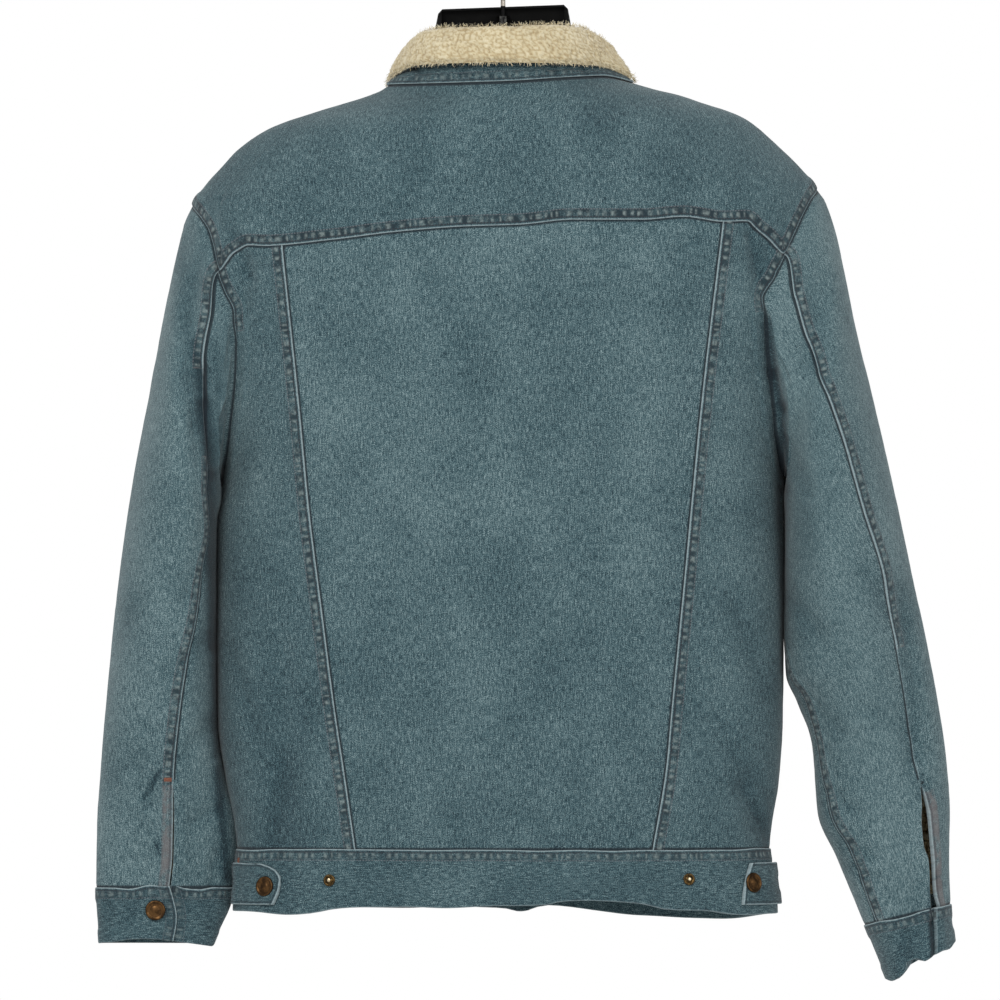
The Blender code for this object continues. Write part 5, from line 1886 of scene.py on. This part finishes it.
def build_buttons():
    for side in SIDES:
        turned_on_body("waist_button_" + side, BUTTON_PROFILE, *WAIST_BUTTONS[side], TAB_WALL + LAY_ON)
        looks = {"materials": ("stud", "bright"), "centre": STUD_CENTRE}
        turned_on_body("waist_stud_" + side, STUD_PROFILE, *WAIST_STUDS[side], **looks)
        cuff_button(side)
    levels = list(np.linspace(TOP_BUTTON, LAST_PLACKET_BUTTON, FRONT_BUTTONS - 1))
    levels.append((WAIST_SEAM + HEM) / 2)
    for number, level in enumerate(levels, start=1):
        turned_on_body(f"front_button_{number}", BUTTON_PROFILE, FRONT_BUTTON_X, level)


def build_hook():
    """The wire: a straight shaft in the hanger, then a bend that ends open."""
    route = [(0, SHAFT_Y, level) for level in SHAFT_LEVELS]
    centre = SHAFT_RADIUS - HOOK_RADIUS
    for step in range(HOOK_STEPS + 1):
        swing = math.radians(HOOK_START + HOOK_TURN * step / HOOK_STEPS)
        x = -HOOK_RADIUS * math.cos(swing)
        y = SHAFT_Y * (1 - min(1, step / HOOK_STRAIGHT_BY))
        route.append((x, y, centre + HOOK_RADIUS * math.sin(swing)))
    route = np.array(route, float)
    ahead = unit(np.gradient(route, axis=0))
    across = unit(np.cross(ahead, (0, 1, 0)))
    up = np.cross(across, ahead)
    swing = np.linspace(0, 2 * math.pi, WIRE_SIDES, endpoint=False)[None, :, None]
    spokes = np.cos(swing) * across[:, None] + np.sin(swing) * up[:, None]
    points = route[:, None] + SHAFT_RADIUS * spokes
    faces = ringed(len(route), WIRE_SIDES)
    sunk = [int(route[min(face) // WIRE_SIDES, 2] < PLATE_TOP) for face in faces]
    item = mesh_item("hook_wire", points.reshape(-1, 3), faces, ("steel", "plastic"), sunk)
    handed_in(item, "hook")


def bartack(name, place, normal, along, length, height):
    """A short dense row of stitches: seven rounded threads side by side."""
    down = unit(np.cross(normal, along))
    points = []
    faces = []
    for k in range(THREADS):
        index = len(points) + np.arange(THREAD_ROWS * THREAD_SIDES).reshape(THREAD_ROWS, THREAD_SIDES)
        faces += quads(index)
        centre = place + (k / (THREADS - 1) - 0.5) * length * along
        for end in np.linspace(-0.5, 0.5, THREAD_ROWS):
            for swing in np.linspace(0, math.pi, THREAD_SIDES):
                lift = 0.25 + 0.45 * math.sin(swing) * math.cos(end * 2.6)
                aside = 0.5 * math.cos(swing)
                points.append(centre + end * height * down + aside * along + lift * normal)
    handed_in(mesh_item(name, np.array(points), faces, ("thread",)))


def finish_cad():
    """The solids that show as they are: the hanger, the nut and the right placket's edge."""
    for node, material, radius in CAD_FINISHES:
        item = bpy.data.objects[node]
        item.data.materials.clear()
        item.data.materials.append(MATERIALS[material])
        if radius is None:
            ends_at(item, FACING_END)
            continue
        bevel = item.modifiers.new("soft_edges", "BEVEL")
        bevel.width = radius * MM
        bevel.segments = 3
        bevel.limit_method = "ANGLE"
        bevel.angle_limit = math.radians(40)
        bevel.harden_normals = True


def ends_at(item, level):
    """A modifier that ends a piece of the CAD at a level above its own lower end."""
    tree = bpy.data.node_groups.new("ends_at", "GeometryNodeTree")
    for way in ("INPUT", "OUTPUT"):
        tree.interface.new_socket("Geometry", in_out=way, socket_type="NodeSocketGeometry")
    names = ("NodeGroupInput", "GeometryNodeInputPosition", "ShaderNodeSeparateXYZ", "ShaderNodeMath")
    names += ("ShaderNodeCombineXYZ", "GeometryNodeSetPosition", "NodeGroupOutput")
    start, place, split, higher, join, move, end = (tree.nodes.new(name) for name in names)
    higher.operation = "MAXIMUM"
    higher.inputs[1].default_value = level * MM
    for source, target in (
        (start.outputs[0], move.inputs["Geometry"]),
        (place.outputs[0], split.inputs[0]),
        (split.outputs["X"], join.inputs["X"]),
        (split.outputs["Y"], join.inputs["Y"]),
        (split.outputs["Z"], higher.inputs[0]),
        (higher.outputs[0], join.inputs["Z"]),
        (join.outputs[0], move.inputs["Position"]),
        (move.outputs[0], end.inputs[0]),
    ):
        tree.links.new(source, target)
    item.modifiers.new("ends_at", "NODES").node_group = tree


# ---------------------------------------------------------------- materials


class Value:
    """A value on its way through a material, so that sums and products can be written as such."""

    def __init__(self, shade, socket):
        self.shade = shade
        self.socket = socket

    def __add__(self, other):
        return self.shade.math("ADD", self, other)

    def __sub__(self, other):
        return self.shade.math("SUBTRACT", self, other)

    def __rsub__(self, other):
        return self.shade.math("SUBTRACT", other, self)

    def __mul__(self, other):
        return self.shade.math("MULTIPLY", self, other)


class Shade:
    """A procedural material, built node by node."""

    def __init__(self, name):
        self.material = bpy.data.materials.new(name)
        self.material.use_nodes = True
        self.tree = self.material.node_tree
        self.shader = self.tree.nodes["Principled BSDF"]

    def put(self, socket, value):
        if isinstance(value, Value):
            self.tree.links.new(value.socket, socket)
        else:
            socket.default_value = (*value, 1) if socket.type == "RGBA" else value

    def set(self, **inputs):
        for name, value in inputs.items():
            self.put(self.shader.inputs[name.replace("_", " ")], value)

    def node(self, kind, inputs, output=0, **settings):
        """The value of a new node. inputs: values by the sockets' names or numbers."""
        node = self.tree.nodes.new("ShaderNode" + kind)
        for name, setting in settings.items():
            setattr(node, name, setting)
        for name, value in inputs.items():
            self.put(node.inputs[name], value)
        return Value(self, node.outputs[output])

    def math(self, operation, *values):
        return self.node("Math", dict(enumerate(values)), operation=operation)

    def vector(self, *values):
        return self.node("CombineXYZ", dict(enumerate(values)))

    def attribute(self, name, output="Fac"):
        return self.node("Attribute", {}, output, attribute_name=name)

    def parts(self, name):
        """The three numbers that each point of the mesh holds under a name."""
        first = self.node("SeparateXYZ", {0: self.attribute(name, "Vector")})
        return [Value(self, socket) for socket in first.socket.node.outputs]

    def place(self, scale):
        """Object coordinates, in units of so many millimetres."""
        coordinates = self.node("TexCoord", {}, "Object")
        return self.node("VectorMath", {0: coordinates, "Scale": 1000.0 / scale}, operation="SCALE")

    def noise(self, vector, detail=2.0, roughness=0.5):
        inputs = {"Vector": vector, "Scale": 1.0, "Detail": detail, "Roughness": roughness}
        return self.node("TexNoise", inputs)

    def cells(self, vector):
        return self.node("TexVoronoi", {"Vector": vector, "Scale": 1.0}, "Distance")

    def span(self, value, low, high, start=0.0, end=1.0):
        """The value's place between low and high, smoothly, from start to end."""
        inputs = dict(enumerate((value, low, high, start, end)))
        return self.node("MapRange", inputs, interpolation_type="SMOOTHSTEP")

    def ramp(self, value, stops):
        colour = self.node("ValToRGB", {0: value})
        elements = colour.socket.node.color_ramp.elements
        while len(elements) < len(stops):
            elements.new(0.5)
        for element, (at, stop) in zip(elements, stops):
            element.position = at
            element.color = (*stop, 1)
        return colour

    def mix(self, share, first, second):
        """The first colour, with a share of the second over it."""
        return self.node("Mix", {0: share, 6: first, 7: second}, 2, data_type="RGBA")

    def bump(self, height, distance):
        self.set(Normal=self.node("Bump", {"Height": height, "Distance": distance * MM}))


def paint(red, green, blue):
    """A colour as seen in the photograph, as the reflectance that gives it under this light."""
    return tuple(((value / 255 + 0.055) / 1.055) ** 2.4 / EXPOSURE for value in (red, green, blue))


def seam_marks(shade, name, colour, height):
    """Worn edge, painted shade in the groove inside it, light puckers on a dark band and two rows of
    stitches along a lapped seam.
    """
    distance, run, strength = shade.parts(name)
    full = shade.span(strength, 0.45, 0.85) * shade.span(strength, 1.45, 1.35)
    wander = shade.noise(shade.vector(run * 0.05, 0.0, 3.7))
    patch = shade.noise(shade.vector(run * 0.3, distance * 0.3, 8.1), 2.0, 0.6)
    blot = shade.noise(shade.vector(run * 0.13, distance * 0.16, 2.2), 3.0, 0.65)

    # the puckers and the dark band between the stitches
    beat = shade.math("FRACT", run * (1 / PUCKER) + wander * 3.5)
    off_beat = shade.math("ABSOLUTE", beat - 0.5)
    off_row = shade.math("ABSOLUTE", distance - PUCKER_ROW)
    spot = shade.span(off_beat, 0.36, 0.04) * shade.span(off_row, 3.4, 0.6) * full
    band = shade.span(distance, 1.3, 2.0) * shade.span(distance, 9.2, 7.8) * full
    least = shade.span(strength, 1.05, 1.2, 0.25, 0.46)
    dark = band * (least + shade.span(blot, 0.42, 0.62, 0.0, 0.65))
    colour = shade.mix(dark, colour, SEAM_DARK)
    light = spot * shade.span(patch, 0.34, 0.62, 0.1, 0.8)
    colour = shade.mix(light, colour, SEAM_LIGHT)

    # the vents' facing has a strength of its own
    low = FACING_STRENGTH - 0.05
    high = FACING_STRENGTH + 0.05
    facing = shade.span(strength, low, low + 0.03) * shade.span(strength, high, high - 0.03)
    facing = facing * shade.span(distance, 9.0, 6.5) * shade.span(blot, 0.3, 0.6, 0.05, 0.6)
    colour = shade.mix(facing, colour, FACING)
    # painted shade in the groove just inside the folded edge
    groove_shade = shade.span(distance, 1.0, 1.3) * shade.span(distance, 2.6, 1.7)
    groove_shade = groove_shade * shade.span(strength, 0.3, 0.9, 0.0, 0.75)
    colour = shade.mix(groove_shade, colour, SEAM_DARK)

    dash = shade.math("LESS_THAN", shade.math("FRACT", run * (1 / STITCH_PITCH)), STITCH_SHARE)
    for row, thread, share in STITCH_ROWS:
        line = shade.math("COMPARE", distance, row, STITCH_HALF_WIDTH)
        colour = shade.mix(line * dash * full * share, colour, thread)
        height = height - line * full * 0.35

    worn = shade.span(distance, 0.85, 0.4) * shade.span(strength, 0.1, 0.8, 0.0, 0.85)
    worn = worn * shade.span(patch, 0.3, 0.55, 0.55, 1.0)
    colour = shade.mix(worn, colour, WORN_EDGE)
    return colour, height + spot * 1.6


def denim_material():
    """Twill in the cloth's own directions, its washed tone with painted shade in its folds, and the seams
    along its edges.
    """
    shade = Shade("denim")
    u, v, seed = shade.parts("cloth")
    grain = shade.noise(shade.vector(u * 1.5, v * 1.3, seed), 1.0, 0.6)
    streaks = shade.noise(shade.vector(u * 1.15, v * 0.13, seed), 1.5, 0.6)
    mottle = shade.noise(shade.vector(u * 0.4, v * 0.34, seed), 2.0, 0.6)
    cloud = shade.noise(shade.vector(u * 0.022, v * 0.014, seed), 3.0)
    tone = grain * 1.1 + streaks * 0.55 + (mottle * 0.33 + cloud * 0.18)
    # the wash value: the piece's own tone with the painted shade of its folds
    tone = tone + shade.attribute("wash_and_shade") * 0.06
    tone = shade.math("MULTIPLY_ADD", tone - DENIM_MIDDLE, 1 / DENIM_SPREAD, 0.5)
    colour = shade.ramp(tone, DENIM_STOPS)
    height = streaks * 0.5 + grain * 0.6
    # painted shadow on a tucked edge, where the neighbouring edge laps over it
    painted_tuck_shadow = shade.span(shade.attribute("tuck"), 4.2, 3.1, 0.0, 0.85)
    colour = shade.mix(painted_tuck_shadow, colour, SEAM_SHADOW)
    for name in ("seam_rows", "seam_columns"):
        colour, height = seam_marks(shade, name, colour, height)
    shade.set(Base_Color=colour, Roughness=0.92)
    shade.set(Specular_IOR_Level=0.15, Sheen_Weight=0.08, Sheen_Roughness=0.6)
    shade.bump(height, 0.4)
    return shade.material


def plain_denim_material():
    """Denim for the facing, which is only seen edge on."""
    shade = Shade("plain_denim")
    weave = shade.noise(shade.place(2.0), 3.0, 0.6)
    shade.set(Base_Color=shade.ramp(weave, DENIM_STOPS), Roughness=0.92, Specular_IOR_Level=0.15)
    shade.bump(weave, 0.3)
    return shade.material


def lining_material():
    """The sherpa that lines the jacket, with painted shade between its tufts."""
    shade = Shade("lining")
    fuzz = shade.noise(shade.place(1.2), 3.0, 0.6)
    height = (1.0 - shade.cells(shade.place(4.5))) + fuzz * 0.5
    shade.set(Base_Color=shade.ramp(shade.span(height, 0.2, 1.2), SHERPA_STOPS), Roughness=0.95)
    shade.set(Specular_IOR_Level=0.1, Sheen_Weight=0.3)
    shade.bump(height, 1.6)
    return shade.material


def sherpa_material():
    """The collar's sherpa: painted shade between the tufts, and each tuft a little different."""
    shade = Shade("sherpa")
    crevice_shade, number, _ = shade.parts("tuft")
    fuzz = shade.noise(shade.place(0.9), 3.0, 0.65)
    large = shade.noise(shade.place(22.0))
    tone = crevice_shade * 0.42 + number * 0.1 + (fuzz * 0.4 + large * 0.2)
    shade.set(Base_Color=shade.ramp(tone, SHERPA_STOPS), Roughness=0.95)
    shade.set(Specular_IOR_Level=0.1, Sheen_Weight=0.25, Sheen_Roughness=0.5)
    shade.bump(fuzz, 0.8)
    return shade.material


def pile_material():
    """The standing curls, with painted shade at their roots that lightens towards their tips."""
    shade = Shade("pile")
    tip, tint, _ = shade.parts("strand")
    tone = tip * 0.4 + (tint * 0.4 + 0.35)
    shade.set(Base_Color=shade.ramp(tone, SHERPA_STOPS), Roughness=0.9)
    shade.set(Specular_IOR_Level=0.15, Sheen_Weight=0.3)
    return shade.material


def metal_material(name, bright, dark, roughness, size=2.2):
    shade = Shade(name)
    patina = shade.noise(shade.place(size), 4.0, 0.6)
    shade.set(Base_Color=shade.ramp(shade.span(patina, 0.35, 0.65), [(0.0, dark), (1.0, bright)]))
    shade.set(Metallic=1.0, Roughness=shade.span(patina, 0.3, 0.7, roughness + 0.15, roughness))
    shade.bump(patina, 0.06)
    return shade.material


def plastic_material():
    shade = Shade("plastic")
    marks = shade.noise(shade.place(6.0), 4.0, 0.6)
    shade.set(Base_Color=shade.ramp(marks, [(0.0, 3 * (0.001,)), (1.0, 3 * (0.003,))]))
    shade.set(Roughness=shade.span(marks, 0.3, 0.7, 0.3, 0.42), Specular_IOR_Level=0.05)
    return shade.material


def thread_material():
    shade = Shade("thread")
    fuzz = shade.noise(shade.place(0.6))
    shade.set(Base_Color=shade.ramp(fuzz, THREAD_STOPS), Roughness=0.85)
    shade.bump(fuzz, 0.1)
    return shade.material


EXPOSURE = 1.4  # how much lighter this light shows a colour than its reflectance
DENIM_STOPS = [
    (0.0, paint(14, 33, 41)),
    (0.3, paint(44, 70, 78)),
    (0.62, paint(80, 104, 109)),
    (1.0, paint(134, 153, 155)),
]
# The darkest sherpa stops stand for painted shade between the tufts and at the roots of the curls
SHERPA_STOPS = [
    (0.1, paint(112, 88, 58)),
    (0.36, paint(174, 155, 117)),
    (0.62, paint(198, 183, 147)),
    (1.0, paint(228, 219, 190)),
]
THREAD_STOPS = [(0.3, paint(84, 48, 34)), (0.7, paint(138, 84, 62))]
DENIM_MIDDLE = 1.09  # the middle of the grain's tones, and their spread
DENIM_SPREAD = 0.48
PUCKER = 7.0  # spacing of the puckers along a seam
PUCKER_ROW = 4.4  # and how far from the edge they lie
STITCH_PITCH = 2.5
STITCH_SHARE = 0.6  # how much of its pitch a stitch is long
STITCH_HALF_WIDTH = 0.42
SEAM_DARK = paint(29, 45, 52)
# SEAM_SHADOW is the painted shadow beside a lapped edge, on the cloth tucked under it
SEAM_SHADOW = paint(16, 26, 34)
SEAM_LIGHT = paint(122, 135, 134)
WORN_EDGE = paint(146, 162, 166)
STITCH = paint(46, 42, 48)
STITCH_LIGHT = paint(128, 130, 134)
FACING = paint(112, 106, 106)  # the turned-in band along the vents
STITCH_ROWS = ((2.0, STITCH, 0.6), (8.1, STITCH_LIGHT, 0.4))  # distance, thread, how clearly it shows
STEEL_BRIGHT = (0.34, 0.31, 0.27)
STEEL_DARK = (0.16, 0.145, 0.125)

MATERIALS = {
    "denim": denim_material(),
    "plain_denim": plain_denim_material(),
    "lining": lining_material(),
    "sherpa": sherpa_material(),
    "pile": pile_material(),
    "copper": metal_material("copper", (0.085, 0.045, 0.018), (0.028, 0.016, 0.008), 0.36, 5.0),
    "stud": metal_material("stud", (0.08, 0.05, 0.018), (0.02, 0.014, 0.008), 0.36),
    "bright": metal_material("bright", (0.6, 0.52, 0.36), (0.35, 0.3, 0.2), 0.25),
    "steel": metal_material("steel", STEEL_BRIGHT, STEEL_DARK, 0.24, 9.0),
    "dark_steel": metal_material("dark_steel", (0.09, 0.09, 0.085), (0.01, 0.01, 0.01), 0.22),
    "plastic": plastic_material(),
    "thread": thread_material(),
}


# ---------------------------------------------------------------- the whole jacket

# The solids that show, with their material and the radius of their edges
CAD_FINISHES = [
    ("hanger", "plastic", 1.2),
    ("hook_nut", "dark_steel", 0.4),
    ("placket_right", "plain_denim", None),
]
FACING_END = -811.5  # the right placket ends behind the hem of the waistband

# Short dense rows of thread: the piece they are on, x, z, length and height
BARTACKS = [
    ("bartack_waist", "waistband_back", 218.0, -775.5, 3.0, 6.0),
    ("bartack_vent_left", "top_sleeve_left", 276.4, -709.0, 5.4, 3.2),
]

under_collar, sherpa = collar_pieces()
clothes = body_pieces() + waistband_pieces() + tab_pieces() + [under_collar]
for side in SIDES:
    clothes += sleeve_pieces(side)
for piece in clothes:
    unlined = piece.name.startswith(("waistband", "cuff", "waist_tab", "collar"))
    item = piece.build("denim" if unlined else "lining")
    width, length, area = piece.cut()

item = build_sherpa(sherpa)
piles = build_pile(sherpa)
width, length, area = Cloth("collar_sherpa", sherpa, SHERPA, {}).cut()
build_buttons()
build_hook()
finish_cad()

by_name = {piece.name: piece for piece in clothes}
for name, node, x, z, length, height in BARTACKS:
    bartack(name, *by_name[node].spot(x, z), length, height)


# ---------------------------------------------------------------- floor, light and camera

CAMERA_PLACE = (0.0025, 20.0, -0.479)
FRAME_WIDTH = 0.824
SENSOR = 36.0
FLOOR_LEVEL = -1.3
# Each light: its name, place, aim, size and power
LIGHTS = [
    ("key", (1.6, 3.6, 1.6), (0, 0, -0.4), 1.6, 120.0),
    ("fill", (-2.4, 3.2, 0.2), (0, 0, -0.5), 2.0, 45.0),
]


def area_light(name, place, aim, size, power):
    light = bpy.data.lights.new(name, "AREA")
    light.shape = "DISK"
    light.size = size
    light.energy = power
    item = bpy.data.objects.new(name, light)
    item.location = place
    item.rotation_euler = (Vector(aim) - Vector(place)).to_track_quat("-Z", "Y").to_euler()
    bpy.context.scene.collection.objects.link(item)


scene = bpy.context.scene
bpy.ops.mesh.primitive_circle_add(vertices=96, radius=1.5, fill_type="NGON", location=(0, 0, FLOOR_LEVEL))
floor = bpy.context.object
floor.name = "floor"
floor_material = bpy.data.materials.new("floor")
floor_material.use_nodes = True
floor_shader = floor_material.node_tree.nodes["Principled BSDF"]
floor_shader.inputs["Base Color"].default_value = (0.8, 0.8, 0.8, 1)
floor_shader.inputs["Roughness"].default_value = 0.8
floor.data.materials.append(floor_material)

world = bpy.data.worlds.new("studio")
world.use_nodes = True
sky = world.node_tree.nodes["Background"]
sky.inputs["Color"].default_value = (1, 1, 1, 1)
sky.inputs["Strength"].default_value = 1.0
scene.world = world
scene.view_settings.view_transform = "Standard"
for light in LIGHTS:
    area_light(*light)

camera_data = bpy.data.cameras.new("camera")
camera_data.sensor_width = SENSOR
camera_data.lens = SENSOR * CAMERA_PLACE[1] / FRAME_WIDTH
camera = bpy.data.objects.new("camera", camera_data)
camera.location = CAMERA_PLACE
camera.rotation_euler = (math.radians(90), 0, math.radians(180))
scene.collection.objects.link(camera)
scene.camera = camera
